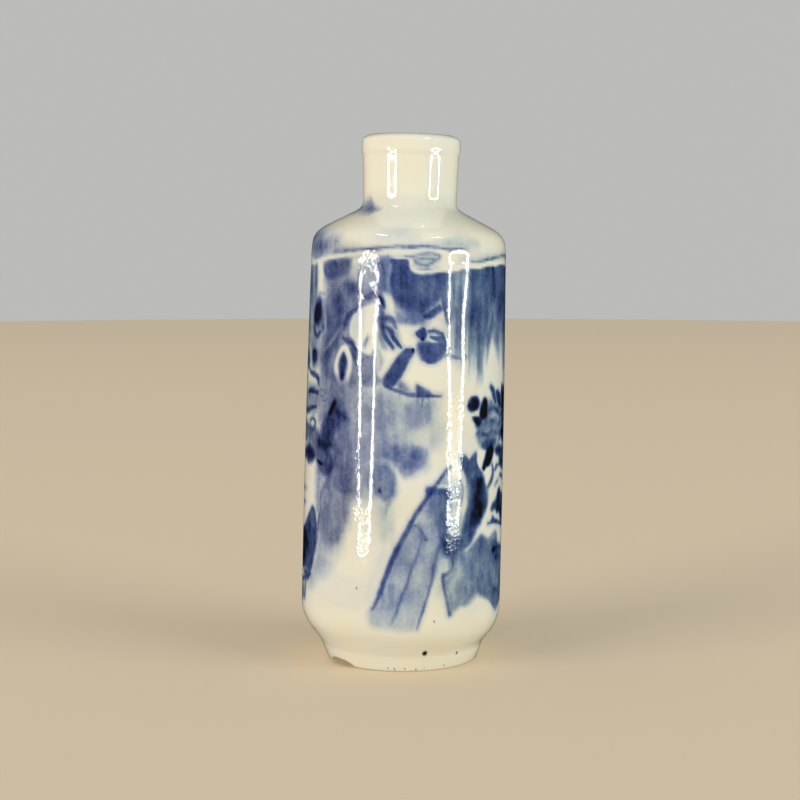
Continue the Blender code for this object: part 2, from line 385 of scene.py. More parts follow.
def paint_shoulder(p):
    """The bank of cloud along the shoulder: a line, a scroll and two bands kept white."""
    p.wash([(-26, 61), (-22, 61.9), (-17.8, 62.1), (-15.4, 61.6), (-13, 61.4), (-11.2, 60.8), (-11.4, 59.8),
            (-13.6, 58.7), (-17.5, 58.1), (-21, 58.2), (-26, 58.4)], 0.42, 0.6)
    p.wash([(-21, 61.4), (-17, 61.6), (-14.4, 60.8), (-12.4, 59.9), (-12.8, 58.9), (-16.4, 58.4),
            (-19.4, 58.6)], 0.62, 0.6)
    p.stroke([(-18.4, 59.6), (-16.4, 59.9), (-14.8, 59.6)], (0.6, 1.0, 0.5), 0.8, 0.4)
    p.wash([(-18, 59.6), (-12, 59.9), (-7, 59.7), (-4.4, 59.6), (-4.6, 58.8), (-9, 58.2), (-14, 57.6),
            (-18, 57.4)], 0.42, 0.4)
    p.wash([(-1.8, 58.6), (0.4, 59), (3.4, 59.1), (4.4, 58.6), (3.6, 57.4), (1, 57.3), (-0.6, 57.8)],
           0.26, 0.35)
    p.wash([(7, 58.2), (12, 58.8), (18, 59.2), (22, 58.8), (20, 58), (12, 57.8)], 0.25, 0.3)
    p.wash([(-5, 61), (-2, 62), (0, 62), (1, 61)], 0.17, 0.5)
    p.wash([(3.6, 60.5), (6.4, 61), (10.4, 60.9), (10.9, 60.2), (8.8, 59.7), (5.4, 59.9)], 0.3, 0.4)
    p.stroke([(-9.9, 59.2), (-8.8, 59.3), (-6.8, 59.4), (-4.6, 59.65), (-2, 59.9), (0.5, 59.95)],
             (0.45, 0.45, 0.38, 0.36, 0.36), 0.72, 0.13)
    p.stroke([(0, 59.95), (4, 59.8), (6, 59.5), (7, 59.6), (8.8, 59.9)], (0.42, 0.4, 0.2), 0.72, 0.13)
    p.spot(2.7, 59.95, 2.2, 0.36, 0.5, 0.2)
    p.stroke([(-0.6, 58.7), (1, 58.75), (3, 59), (4.2, 58.7), (4.1, 58.2), (3.2, 57.8)],
             (0.3, 0.3, 0.38, 0.42, 0.38, 0.3), 0.55, 0.15)
    p.stroke([(3.4, 57.7), (2.6, 57.4), (1.6, 57.45), (0.9, 57.8), (1.2, 58.2), (2.2, 58.2), (3.6, 58.2)],
             (0.3, 0.38, 0.4, 0.36, 0.25, 0.2, 0.2), 0.68, 0.15)
    p.wash([(0.9, 58.2), (3.6, 58.8), (4.1, 58.3), (2.6, 57.6), (1.3, 57.6)], 0.26, 0.25)
    p.stroke([(9.6, 57.95), (12.2, 58.15), (15, 58.5), (18, 58.8), (24, 58.7)],
             (0.3, 0.45, 0.4, 0.3), 0.75, 0.18)
    p.wash([(-15.4, 66.2), (-13.8, 66.5), (-12.2, 65.8), (-9.4, 65.1), (-8.4, 64.8), (-10.6, 64.5),
            (-14, 64.6), (-19, 64.6), (-22, 64.8), (-22, 65.4), (-18.5, 65.6)], 0.6, 0.35)
    p.spot(-13, 65.1, 3.4, 0.6, 0.75, 0.3)


def paint_cliff(p):
    """The overhanging cliff behind the figures: a dark block and long dry strokes hanging from it."""
    x, y = p.shaky_across, p.shaky_up
    roof = 57.0 + 0.9 * ramp(x, 6, 22) + 1.25 * ramp(-x, -0.9, 0.1)
    hangs = np.interp(x, *zip(*CLIFF_FOOT))
    loose = ramp(x, 5.2, 7.0)
    dry = mottle(x, y, 0.85, 11, 21) + 0.5 * mottle(x, y, 0.42, 8, 22) + 0.4 * mottle(x, y, 2.4, 7, 24)
    hangs = hangs + 1.1 * dry * loose
    inside = ramp(roof - y, -0.15, 0.2) * ramp(x, -2.9, -2.1) * ramp(-x, -34, -31)
    fade = ramp(y - hangs, -1.3 - 1.2 * loose, 1.0 + 4.2 * loose)
    amount = 1.18 + 0.12 * ramp(-x, -0.6, 1.0) + 0.12 * mottle(x, y, 2.4, 3, 23)
    amount += 0.1 * mottle(x, y, 0.8, 1.4, 25)
    amount -= 0.55 * ramp(x, 4.9, 5.8) * ramp(-x, -9.9, -9.1)
    amount += dry * loose * (0.12 + 0.4 * ramp(x, 8.8, 10) * ramp(-y, -56, -49))
    amount -= 0.08 * ramp(x, 9.4, 12) * ramp(-x, -15, -13.4)
    trail = 0.5 * ramp(y - hangs, -4.5, -0.3) * loose * np.clip(1 + 1.4 * dry, 0.1, 2)
    p.add(np.arange(len(x)), inside * np.maximum(amount * fade, trail))
    p.white([(0, 56), (3, 56), (3, 54), (2, 53)], 0.6, 0.85)
    p.wash([(-2, 56), (0, 56), (-1, 51), (-2, 52)], 0.3, 0.6)
    p.wash([(-2, 51.4), (0.8, 51), (2.9, 50.8), (2.2, 48.9), (0.6, 48.4), (-1.3, 48.8)], 0.62, 0.6)
    p.stroke([(5.4, 45), (7.2, 44.8), (8.8, 45)], (0.4, 0.5, 0.4), 0.75, 0.25)
    p.stroke([(2.4, 50.5), (3.4, 50.9), (4.6, 51.6)], (0.8, 1.1, 0.9), 1.15, 0.3)
    p.wash([(0, 51), (1.8, 51), (2, 49.6), (1.2, 48.2), (0, 48.4)], 0.75, 0.45)
    p.wash([(2.4, 50.3), (5.6, 51), (6.2, 49.8), (5.8, 48.6), (3.6, 50)], 0.16, 0.4)
    p.stroke([(14.4, 57.3), (14.7, 55.5), (14.9, 53)], (0.5, 0.7, 0.3), 1.5, 0.3)
    p.stroke([(-2.6, 58), (-1.2, 57.2), (-0.4, 56)], (0.5, 0.8, 0.4), 1.2, 0.35)


def paint_cloud_bands(p):
    """The two white bands over the tops of the cliff and the trees."""
    p.white_stroke([(-27, 57.4), (-21, 57.2), (-15.5, 57.7), (-10, 58.6), (-5, 58.95), (-1, 59.2),
                    (2.5, 59.5), (5.4, 59.1), (6.8, 58.4)],
                   (0.6, 0.65, 0.6, 0.5, 0.45, 0.4, 0.5, 0.75), 0.15, 0.22)
    p.white_stroke([(0.2, 58), (0.35, 57.1), (1.2, 56.55), (2.6, 56.45), (5, 56.8), (8, 57.25), (12, 57.55),
                    (17, 57.85), (24, 57.7), (28, 57.3)], (0.5, 0.8, 0.75, 0.7, 0.75, 0.8), 0.15, 0.05)


def paint_left_trees(p):
    """Trunks, knots and leaves down the left side."""
    p.wash([(-24, 57), (-20, 56.8), (-17, 57), (-16, 56), (-16.3, 54), (-14, 50), (-15.4, 45.4), (-19, 45),
            (-23.5, 45.5), (-25, 50)], 0.52, 0.5)
    p.stroke([(-17.2, 57.2), (-17, 55), (-17.1, 52.6)], (0.7, 1.1, 0.6), 0.8, 0.35)
    p.stroke([(-19, 56.9), (-19.2, 54.6), (-18.8, 51.5)], (0.4, 0.9, 0.5), 1.1, 0.3)
    p.wash([(-24.5, 56.9), (-21.6, 56.8), (-20, 55), (-20.2, 51), (-20.8, 47), (-23.5, 45.5), (-25, 50)],
           0.8, 0.4)
    p.wash([(-17.3, 49.2), (-17, 51.2), (-16.4, 52.3), (-15.4, 52.5), (-14.4, 51.4), (-14.4, 49.8),
            (-15.1, 48.7), (-16.4, 48.3)], 1.1, 0.35)
    p.wash([(-17.2, 49.2), (-17, 50.6), (-16.4, 51.6), (-15.4, 52), (-14.8, 51.2), (-14.9, 50.1),
            (-15.5, 49.2), (-16.3, 48.8)], 1.9, 0.3)
    p.stroke([(-17.2, 48.3), (-16.6, 47.4), (-15.8, 47.1), (-14.9, 47.7)],
             (0.35, 0.6, 0.65, 0.35), 1.6, 0.22)
    p.stroke([(-15.5, 53), (-14.1, 53)], (0.35, 0.6), 0.7, 0.2)
    p.wash([(-18.6, 44.5), (-17.4, 45.9), (-15.6, 45.6), (-15, 43.8), (-15.9, 42.3), (-17.6, 42.2)],
           0.55, 0.3)
    p.wash([(-17.8, 44.2), (-17, 45.1), (-16, 44.8), (-15.8, 43.8), (-16.4, 43), (-17.3, 42.9)], 1.9, 0.3)
    p.stroke([(-19.2, 42.4), (-17.8, 41.6), (-16.2, 41.5), (-15.1, 41), (-14.9, 40.1)],
             (0.4, 0.7, 0.8, 0.8, 0.4), 1.15)
    p.wash([(-24, 44.5), (-21, 45), (-19, 44.6), (-18.6, 43), (-20, 42.2), (-23, 42)], 1.0, 0.4)
    p.stroke([(-24, 41), (-21.4, 40.8), (-20, 40.6)], (1.0, 1.1, 0.5), 1.3, 0.3)
    p.wash([(-24, 40.6), (-20, 40), (-16, 40), (-14.4, 38.8), (-15, 36), (-18, 35), (-24, 35)], 0.45, 0.5)
    p.white_stroke([(-21, 40.6), (-18.6, 40.7), (-16.4, 40.3)], (0.7, 0.9, 0.5), 0.25, 0.2)
    p.stroke([(-18.9, 38.8), (-18, 39), (-16.8, 39.1), (-14.9, 39)], (0.4, 0.8, 0.75, 0.35), 1.45, 0.2)
    p.stroke([(-23, 36.2), (-19.6, 36.1), (-17.6, 36.6), (-15.2, 37)], (0.5, 0.6, 0.7, 0.3), 1.5, 0.2)
    p.white_stroke([(-22, 35.3), (-19.6, 35.2), (-17.4, 35.6)], (0.4, 0.7, 0.4), 0.2, 0.3)
    p.stroke([(-17.6, 34.8), (-16.6, 35.2), (-15.7, 34.8), (-16, 33.9), (-17, 33.5), (-17.5, 34.2)],
             (0.45,), 1.2, 0.2)
    p.wash([(-22, 34.6), (-18.8, 34.4), (-15.4, 33.9), (-13.4, 33), (-12.6, 31.6), (-12.9, 30.2),
            (-15, 29.8), (-16.6, 31.2), (-18.5, 31.6), (-22, 32.2)], 0.85, 0.4)
    p.wash([(-14.9, 31.4), (-12, 31.2), (-10.8, 29.6), (-11.4, 27.8), (-13.4, 27.6), (-15, 29)], 0.95, 0.35)
    p.wash([(-18.6, 39.8), (-15.2, 40.2), (-14.6, 38.4), (-15.4, 37.2), (-18.6, 37.6)], 0.5, 0.4)
    p.wash([(-24, 30.6), (-20, 30.8), (-18, 31.5), (-16.4, 31.1), (-15.2, 30.2), (-16, 29.2), (-18.2, 28.8),
            (-20, 29.3), (-24, 29)], 1.45, 0.4)
    p.stroke([(-19.4, 30.2), (-17.6, 30.3), (-16.4, 30)], (0.5, 1.0, 0.4), 1.75, 0.35)
    p.stroke([(-14.7, 29.3), (-14, 29.1), (-13.4, 29.2)], (0.4, 0.6, 0.3), 2.4)


def paint_left_bank(p):
    """The dark bank of the stream low on the left, below a strip of white water."""
    p.wash([(-27, 18.4), (-23, 18.6), (-20.6, 18.9), (-19.2, 19.5), (-18.1, 20.5), (-17, 21.7),
            (-15.9, 22.8), (-15.1, 22.2), (-14.6, 20.5), (-14.4, 18), (-14.9, 16), (-15.6, 14),
            (-16.6, 12.8), (-18.4, 12.2), (-21, 13.2), (-25, 13.6)], 1.4, 0.25)
    p.wash([(-27, 18), (-20.6, 18.6), (-18, 18), (-17.2, 17), (-17.8, 15.2), (-19.4, 13.9), (-24, 13.6)],
           1.7, 0.4)
    p.wash([(-27, 17.2), (-21, 17.6), (-19.4, 16.9), (-19.2, 15.6), (-20.4, 14.4), (-25, 14)], 2.6, 0.4)
    p.wash([(-19, 19), (-17, 19), (-16, 16), (-18, 16)], 0.5, 0.4)
    p.white([(-16.4, 22.2), (-15.4, 22.2), (-15, 20.8), (-15.6, 19.8), (-16.4, 20.4)], 0.4, 0.75)
    p.white_stroke([(-17, 12.9), (-18.4, 13.2), (-20.5, 12.8), (-24, 12.6)],
                   (0.2, 0.5, 0.6, 0.6), 0.25, 0.3)
    p.stroke([(-16.2, 12.9), (-17.4, 12.1), (-18.6, 11.9), (-21, 11.4), (-24, 11.6)],
             (0.7, 0.8, 0.5, 0.5), 1.3, 0.2)
    p.stroke([(-18.4, 11.4), (-18.3, 9.8), (-18.5, 8.9)], (0.6, 0.6, 0.4), 0.95, 0.25)
    p.wash([(-24, 11), (-20.4, 11.4), (-19, 10.6), (-19, 9), (-21, 8.4), (-24, 8.2)], 0.7, 0.5)
    p.stroke([(-24, 25), (-21, 24.8), (-18.6, 24.9)], (0.7, 0.6, 0.2), 0.7, 0.3)
    p.stroke([(-24, 23), (-21, 22.7), (-18.8, 22.9)], (0.8, 0.6, 0.15), 0.65, 0.3)


def paint_head(p):
    """The seated figure's head, kept white in a dark cap and a wide blue hood."""
    p.wash([(-14.8, 55), (-12.6, 55), (-9.6, 55.6), (-7.6, 57.4), (-4.4, 58.4), (-2.6, 58.4), (-2.4, 54),
            (-2.9, 50.5), (-3, 45), (-3.2, 41.4), (-7.5, 40.2), (-10.8, 40.8), (-14, 41.6), (-15, 44.4),
            (-14.2, 48), (-14.2, 52)], 0.66, 0.4)
    p.wash([(-14.6, 57.2), (-12, 57.9), (-8.9, 58.1), (-8.6, 57), (-9, 55.9), (-10.2, 55.2), (-12.8, 54.8),
            (-14.1, 55.2)], 0.92, 0.35)
    p.wash([(-13, 57.4), (-11.2, 57.6), (-10.8, 55.8), (-12.6, 55.4)], 1.1, 0.35)
    p.wash([(-13, 53.6), (-9, 55.6), (-7.7, 53), (-9.2, 51), (-10, 48), (-12.8, 47.6)], 0.72, 0.5)
    p.wash([(-12.6, 46), (-12.6, 49.4), (-10.8, 49.8), (-10.2, 47.4), (-10.9, 45.8)], 0.9, 0.5)
    p.wash([(-12, 53), (-9, 53), (-9.6, 50), (-10.6, 48)], 1.08, 0.5)
    p.wash([(-10.2, 54.6), (-8.7, 55.3), (-7.4, 54.6), (-7.8, 53.4), (-9.2, 53.4)], 1.35, 0.35)
    p.wash([(-14, 47), (-11, 46), (-13, 42), (-14.4, 43)], 0.78, 0.45)
    p.wash([(-15, 52), (-13.6, 52), (-13.8, 47), (-14.6, 48), (-14.8, 50)], 0.85, 0.35)
    p.white([(-14.6, 54.6), (-13.4, 54.6), (-13.2, 53), (-13.6, 51.6), (-14.6, 51.4)], 0.4, 0.6)
    p.white([(-8.6, 57.8), (-7.4, 57.6), (-7.4, 55.4), (-8.2, 55), (-8.8, 56)], 0.35, 0.5)
    p.white([(-6.9, 57.6), (-5.2, 58), (-4.6, 56), (-5.2, 54.2), (-6.6, 54.4)], 0.6, 0.62)
    p.stroke([(-3.9, 57.6), (-3.4, 55.6), (-3.3, 53.4)], (0.5, 0.9, 0.5), 0.95, 0.4)
    p.white_stroke([(-13.6, 44.9), (-12.2, 46.3), (-11.2, 47.5), (-10.6, 48.3)], (0.3, 0.55, 0.3), 0.2, 0.5)
    p.white_stroke([(-14.4, 51.4), (-13.7, 49.4), (-13.9, 47.4)], (0.3, 0.6, 0.3), 0.3, 0.6)
    p.white([(-16.2, 57.6), (-15.3, 57.4), (-14.9, 57), (-14.7, 55.4), (-14.5, 53.6), (-15, 53),
             (-15.8, 53.4), (-16.2, 55.2)], 0.35, 0.3)
    p.white([(-4.6, 52.1), (-6.2, 51.6), (-7.4, 50.9), (-8.3, 49.8), (-8.7, 48.6), (-8.5, 47.3),
             (-7.7, 46.6), (-6.6, 45.4), (-5.2, 45), (-4.3, 46.6), (-4.1, 48.5), (-4.2, 50.4)], 0.25, 0.03)
    p.wash([(-8.6, 49.4), (-7, 51), (-6, 51.2), (-6.4, 49.6), (-7.4, 47.4), (-8.4, 47.4)], 0.2, 0.4)
    p.white([(-3.6, 53.6), (-2.7, 53), (-2, 51.4), (-1.95, 50.2), (-2.6, 50), (-3.3, 51.2)], 0.28, 0.1)
    p.white([(-4.2, 47), (-3.4, 45.8), (-2, 45.6), (-0.8, 46.6), (-1.2, 45), (-2.6, 43), (-3.6, 41.9),
             (-4.4, 43.4)], 0.3, 0.12)
    p.white([(-2, 49.2), (1.6, 49.2), (1, 48), (-1, 47)], 0.4, 0.1)
    p.stroke([(-7.1, 51.3), (-8.5, 50.5), (-9.3, 49.4), (-9.7, 48.2)], (0.45, 0.75, 0.85, 0.35), 1.05, 0.2)
    p.stroke([(-9.8, 47.1), (-9, 46.7), (-8.1, 46.3), (-7.4, 45.6)], (0.4, 0.75, 0.7, 0.55), 1.25, 0.16)
    p.stroke([(-7.9, 46), (-7.7, 44.6), (-7.2, 43.4)], (0.6, 0.75, 0.3), 1.1, 0.18)
    p.stroke([(-5.7, 47.4), (-6, 46.7), (-6.2, 46.1)], (0.3, 0.5, 0.25), 0.6)
    p.stroke([(-6.5, 53), (-5.6, 52.9), (-5, 53.6)], (0.5, 0.9, 0.4), 1.4, 0.2)
    p.stroke([(-4.7, 53.2), (-3.9, 52.4), (-3.3, 51.5)], (0.4, 0.75, 0.3), 1.7, 0.16)
    p.stroke([(-3.5, 49.9), (-2.6, 50.1), (-1.9, 49.6), (-1.6, 48.9)], (0.5, 0.8, 0.7, 0.4), 0.95, 0.22)
    p.stroke([(-3.6, 49.4), (-3.4, 48.2), (-2.8, 47.1), (-2, 46)], (0.6, 0.75, 0.7, 0.45), 1.15, 0.16)
    p.stroke([(-3, 48.9), (-2.3, 48.5), (-1.9, 47.5), (-1.4, 46.7), (-0.9, 46.2)],
             (0.6, 0.7, 0.6, 0.6, 0.4), 1.2, 0.14)
    p.wash([(-4, 51), (-2, 50), (-1.2, 47), (-4, 48)], 0.5, 0.4)
    p.wash([(-6.9, 45), (-5.6, 44.8), (-4.9, 43), (-5.2, 41.6), (-6.6, 41.3), (-7.2, 43)], 0.45, 0.35)
    p.stroke([(-5.2, 43.9), (-4.8, 42.8), (-5.3, 41.6), (-6.4, 41.1)], (0.3, 0.4, 0.35), 0.6, 0.2)
    p.stroke([(-4, 45.6), (-3.6, 44.2), (-3.8, 43)], (0.3, 0.7, 0.3), 0.4, 0.3)


def paint_ear_disc(p):
    """The hood's oval ornament, a dark drop inside a white oval."""
    p.white([(-9.5, 46.1), (-10.6, 45.2), (-11.3, 43.4), (-11.1, 41.8), (-10.2, 40.6), (-9.2, 40.3),
             (-8.4, 41.8), (-8.1, 43.6), (-8.5, 45.4)], 0.18, 0.1)
    p.wash([(-9.7, 45), (-10.4, 44), (-10.45, 42.8), (-10.1, 41.6), (-9.7, 41.3), (-9.3, 42.2), (-9, 43.4),
            (-9.2, 44.5)], 1.45, 0.2)
    p.spot(-9.75, 41.9, 0.5, 1.0, 1.2)


def paint_arm(p):
    """The raised sleeve, its hem, and the second figure's dark cap beyond it."""
    p.white([(0.5, 44.4), (1.6, 43.8), (3.2, 43.8), (5, 44.6), (6.4, 44), (6.4, 41), (4, 40.4), (2.6, 41),
             (0.8, 40.6), (-0.6, 41.2), (-0.6, 42.4)], 0.25, 0.0)
    p.wash([(1.55, 46.8), (2.6, 46.9), (3.8, 47.4), (5.2, 48), (5.8, 46.6), (5.3, 45.2), (4.3, 44.4),
            (3.1, 44.05), (2.1, 44.5), (1.5, 45.6)], 1.25, 0.32)
    p.wash([(1.1, 48.2), (1.7, 48.8), (2.4, 48.9), (2.7, 48.1), (2.3, 47.3), (1.5, 47.6)], 1.3, 0.16)
    p.white_stroke([(2.9, 47.5), (3.4, 47.1), (4.2, 46.9)], (0.3, 0.45, 0.2), 0.12, 0.2)
    p.stroke([(3, 48.4), (4, 48.5), (5, 48.2)], (0.35, 0.55, 0.45), 1.15)
    p.stroke([(3.3, 47.7), (3.9, 47.5), (4.4, 47.4)], (0.35, 0.5, 0.3), 1.2)
    p.spot(2.1, 47.25, 0.5, 0.4, 2.3, 0.1)
    p.wash([(-0.2, 46.1), (0.9, 45.7), (0.4, 44.2), (-0.3, 42.7), (-1.1, 41.5), (-1.8, 40.7), (-2.9, 40.6),
            (-3.2, 41.6), (-2.4, 43), (-1.2, 44.9)], 1.18, 0.18)
    p.spot(0.8, 45.85, 0.55, 0.45, 2.3, 0.1)
    p.stroke([(-2.6, 40.7), (-1.4, 40.1), (0, 39.75), (1.2, 39.55), (3.4, 39.6), (5, 39.65)],
             (0.7, 0.5, 0.5, 0.45, 0.35, 0.2), 0.95)
    p.wash([(-1.1, 41.3), (-0.2, 41.3), (0.7, 40), (-0.9, 40)], 0.7, 0.25)
    p.stroke([(1.6, 41), (1.7, 40.2), (1.7, 39.4)], (0.35, 0.6, 0.4), 0.85)
    p.wash([(1.5, 40.9), (2.6, 40.5), (3.6, 40), (3.8, 39.5), (2.6, 39.2), (1.5, 39.4)], 0.85, 0.22)
    for across, low, amount in ((1.6, 38.2, 0.5), (2.25, 38, 0.6), (3.05, 38.3, 0.4), (-0.9, 38.9, 0.25)):
        p.stroke([(across, 39.4), (across + 0.05, low)], (0.4, 0.2), amount)


def paint_robe(p):
    """The seated figure's wide robe, in broad pale washes that pool at their edges."""
    p.wash([(-12.6, 41), (-9, 41), (-3.4, 40.6), (-1.6, 39.8), (2.4, 39), (4.2, 39), (4.4, 37), (3.2, 35.2),
            (-0.8, 32.8), (-1.6, 31), (-1.5, 26), (-3.4, 25), (-5.6, 25.4), (-7.2, 24), (-8.8, 18.6),
            (-10, 17), (-14.2, 15), (-14.3, 21), (-14.2, 25), (-13.4, 28)], 0.36, 0.5)
    p.wash([(-11.4, 41), (-8.4, 41), (-7.8, 36), (-7.2, 26), (-9, 19.4), (-10.4, 17.6), (-13, 17.6),
            (-14, 20), (-13.2, 26), (-10.8, 34)], 0.54, 0.45)
    p.wash([(-13, 32), (-11, 33), (-9, 31), (-10, 25), (-12, 28.6)], 0.68, 0.6)
    p.wash([(-7.5, 38.6), (-5, 38.8), (-3.4, 37.4), (-3.2, 32.4), (-3, 30.4), (-4.4, 29), (-4.8, 26),
            (-6, 24.8), (-7.4, 25.6), (-7.6, 29)], 0.42, 0.6)
    p.wash([(-4.6, 29.8), (-3, 30.1), (-1.9, 29.4), (-1.2, 28), (-1.1, 26.4), (-1.7, 25.2), (-2.6, 24.9),
            (-3.4, 25.2), (-4.4, 26), (-4.8, 27.8)], 0.58, 0.4, 0.25)
    p.stroke([(-1.5, 28.8), (-1.3, 26.6), (-1.9, 24.8), (-2.6, 22.4)], (0.3, 0.5, 0.7, 0.3), 0.45, 0.4)
    p.wash([(-1, 36.4), (1, 38.4), (4.2, 38.2), (5.6, 36), (5.4, 33.4), (3.6, 32), (1, 33)], 0.22, 0.5)
    p.wash([(-3.4, 38.6), (-2, 39), (-1.2, 37), (-1.8, 34.6), (-2.8, 32.4), (-3.6, 34)], 0.5, 0.6)
    p.wash([(-4, 31.4), (-1, 33), (2.7, 32.5), (3.3, 32), (3.1, 30.4), (2.4, 29.4), (0, 28.1), (-1.5, 30)],
           0.58, 0.5, 0.1)
    p.wash([(0, 32), (2, 32), (3, 31), (0, 30)], 0.5, 0.6)
    p.wash([(-3.4, 31.2), (1, 33), (2, 30), (-0.6, 29)], 0.55, 0.5)
    p.wash([(-1, 32), (1, 32), (2, 32), (0, 29)], 0.62, 0.5)
    p.white_stroke([(-4.6, 30.5), (-2.8, 30.5), (-1.5, 29.7), (-0.8, 28.2), (-0.7, 26.4)],
                   (0.3, 0.4, 0.4), 0.3, 0.6)
    p.white([(-2.6, 34.8), (-0.8, 36), (0.4, 35.2), (2, 34.8), (3.8, 34.2), (2.4, 33.7), (-0.4, 33.8)],
            0.5, 0.8)
    p.wash([(-16, 18), (-12, 17), (-11, 15.2), (-13, 13), (-17, 10.8), (-15.4, 15.4)], 0.36, 0.7)
    p.wash([(-13, 14), (-5, 13), (-6, 9), (-13, 10)], 0.04, 0.4, 0.6)
    p.wash([(-15.2, 28.6), (-13.4, 28.2), (-13.6, 25.4), (-14, 22.4), (-14.9, 22.2), (-15, 25)], 0.42, 0.35)
    p.stroke([(-11.8, 27.4), (-12.5, 26.2), (-13.3, 25.2), (-13.7, 23.8), (-13.6, 22.6), (-14, 21),
              (-14.3, 18.6), (-14.6, 16.6)], (0.4, 0.5, 0.6, 0.45, 0.5, 0.5, 0.3), 0.85, 0.3)
    p.wash([(-4, 24.4), (-2, 24.2), (-1.2, 22), (-2, 19.6), (-3.2, 20), (-3.6, 22)], 0.26, 0.6)
    p.wash([(-3, 18), (-2, 18), (-3, 15), (-5, 11)], 0.16, 0.6)


def paint_left_sleeve(p):
    """The robe's dark collar and back edge."""
    p.wash([(-15, 41.6), (-12.6, 41.6), (-12, 38.6), (-12.4, 36), (-13.6, 34.8), (-15, 35.4)], 0.55, 0.4)
    p.stroke([(-14.6, 39.2), (-13.8, 39.4), (-13, 39.1), (-13.4, 38.6), (-14.4, 38.6)], (0.25,), 0.75)
    p.stroke([(-14, 38), (-13.6, 38), (-13, 38)], (0.2,), 0.75)
    p.wash([(-12.6, 40.6), (-10.6, 40.8), (-9, 39), (-8, 36.4), (-8.8, 34.4), (-10, 33), (-12, 33.6),
            (-13, 36.4)], 0.68, 0.5)
    p.wash([(-10.8, 38.6), (-9.8, 37.2), (-8.8, 36.6), (-8.3, 35.9), (-9.6, 34.9), (-10.5, 34),
            (-10.9, 32.6), (-11.6, 31.6), (-13, 31), (-14.6, 31.3), (-15, 32.4), (-14.2, 33.6),
            (-13.5, 35.2), (-12.6, 36.6), (-11.6, 37.6)], 1.22, 0.4)
    p.stroke([(-10.6, 36.6), (-9.6, 36.4), (-8.8, 35.9)], (0.6, 1.0, 0.5), 1.35, 0.3)
    p.stroke([(-13.9, 32), (-12.6, 31.7), (-11.4, 32)], (0.5, 0.9, 0.5), 1.4, 0.3)
    p.stroke([(-11.5, 31.9), (-12.1, 31), (-12.5, 30), (-12.8, 29)], (0.5, 0.45, 0.4, 0.4), 1.15)
    p.wash([(-13, 28.9), (-12.2, 29), (-11.3, 28.4), (-11.5, 27.4), (-12.5, 27.4), (-13.1, 28)], 0.95, 0.3)
    p.wash([(-9.6, 30), (-8, 30.4), (-7.4, 28), (-7.8, 25.6), (-9.2, 25.4), (-9.8, 27.6)], 0.86, 0.45)
    p.stroke([(-10.6, 32.6), (-10.5, 31), (-10.8, 29)], (0.3, 0.6, 0.3), 1.05, 0.3)
    p.stroke([(-9.5, 33.4), (-9.6, 31.6), (-9.4, 30)], (0.3, 0.7, 0.3), 0.8, 0.4)
    p.stroke([(-10.9, 38.3), (-11.3, 37.5), (-11.9, 36.5)], (0.4, 0.7, 0.6), 2.9, 0.12)
    p.spot(-3.4, 26.2, 0.5, 0.4, 1.9, 0.12)


def paint_second_robe(p):
    """The standing figure's robe, with long fold lines and a rounded hem."""
    p.wash([(6.6, 29), (5, 28), (2, 23.5), (-1.8, 15.8), (-3.4, 10.8), (-4.4, 9.6), (-4, 7.2), (0, 6.6),
            (2, 7.3), (3.4, 11), (5, 16), (6.5, 20)], 0.44, 0.3)
    p.wash([(4, 26.4), (6.6, 26.4), (6.8, 22), (6.4, 19), (5.6, 18.6), (4.4, 20.6), (3.6, 23.4), (3, 24.8)],
           0.72, 0.4)
    p.wash([(-2.4, 13.4), (-0.4, 13), (0.6, 11.6), (0, 9.8), (-1.6, 9.8), (-3, 10)], 0.4, 0.4)
    p.wash([(4.8, 18.4), (5.8, 18.6), (5.4, 16.4), (4.6, 14.4), (4, 14.8)], 0.45, 0.3)
    p.wash([(0.4, 20.6), (2, 21), (1.6, 18), (0.4, 14.6), (-0.8, 15)], 0.44, 0.5)
    p.white([(2.2, 23.2), (3.2, 22.8), (3, 21.8), (2, 21.8)], 0.4, 0.6)
    p.stroke([(6.6, 29.6), (5.6, 28.6), (4.8, 27.6), (4.1, 26.4), (3.1, 25.2), (2, 23.6), (0.9, 21.5),
              (0, 19.5), (-0.8, 17.8), (-1.6, 16), (-2.2, 14), (-2.9, 12), (-3.5, 10.6), (-4.1, 9.5)],
             (0.3, 0.45, 0.5, 0.9, 0.55, 0.5, 0.65, 0.7, 0.75, 0.7, 0.65, 0.65, 0.55, 0.35), 1.2, 0.17)
    p.stroke([(3.5, 26.3), (6.6, 26)], (1.1, 0.5), 1.1, 0.22)
    p.white_stroke([(4.6, 26.9), (6, 26.85), (7, 27)], (0.35,), 0.12, 0.2)
    p.stroke([(1, 21.3), (2, 21.5), (3, 20)], (0.35,), 0.85, 0.2)
    p.stroke([(2.6, 19.6), (2, 17.4), (1.5, 15.8), (0.8, 13.8), (0.2, 11.8), (-0.4, 9.8), (-1.3, 7.6)],
             (0.3, 0.45, 0.5, 0.5, 0.5, 0.5, 0.3), 0.85, 0.2)
    p.white([(-5, 9.2), (-1, 10), (2.4, 9.6), (3, 7), (-1, 5.8), (-5, 6.6)], 0.9, 0.7)
    p.wash([(5, 18), (7, 18), (6, 13), (5, 12)], 0.26, 0.5)
    p.stroke([(6.3, 21.8), (5.4, 19.2), (4.8, 17), (4.3, 15.3), (4, 13), (3.4, 10.6), (2.8, 8.6),
              (2.3, 6.9)], (0.3, 0.5, 0.5, 0.65, 0.5, 0.4, 0.35, 0.2), 0.8, 0.22)
    p.spot(4.3, 15.3, 0.5, 0.8, 0.8, 0.2)
    p.spot(3.1, 19.7, 0.4, 0.35, 1.6, 0.1)


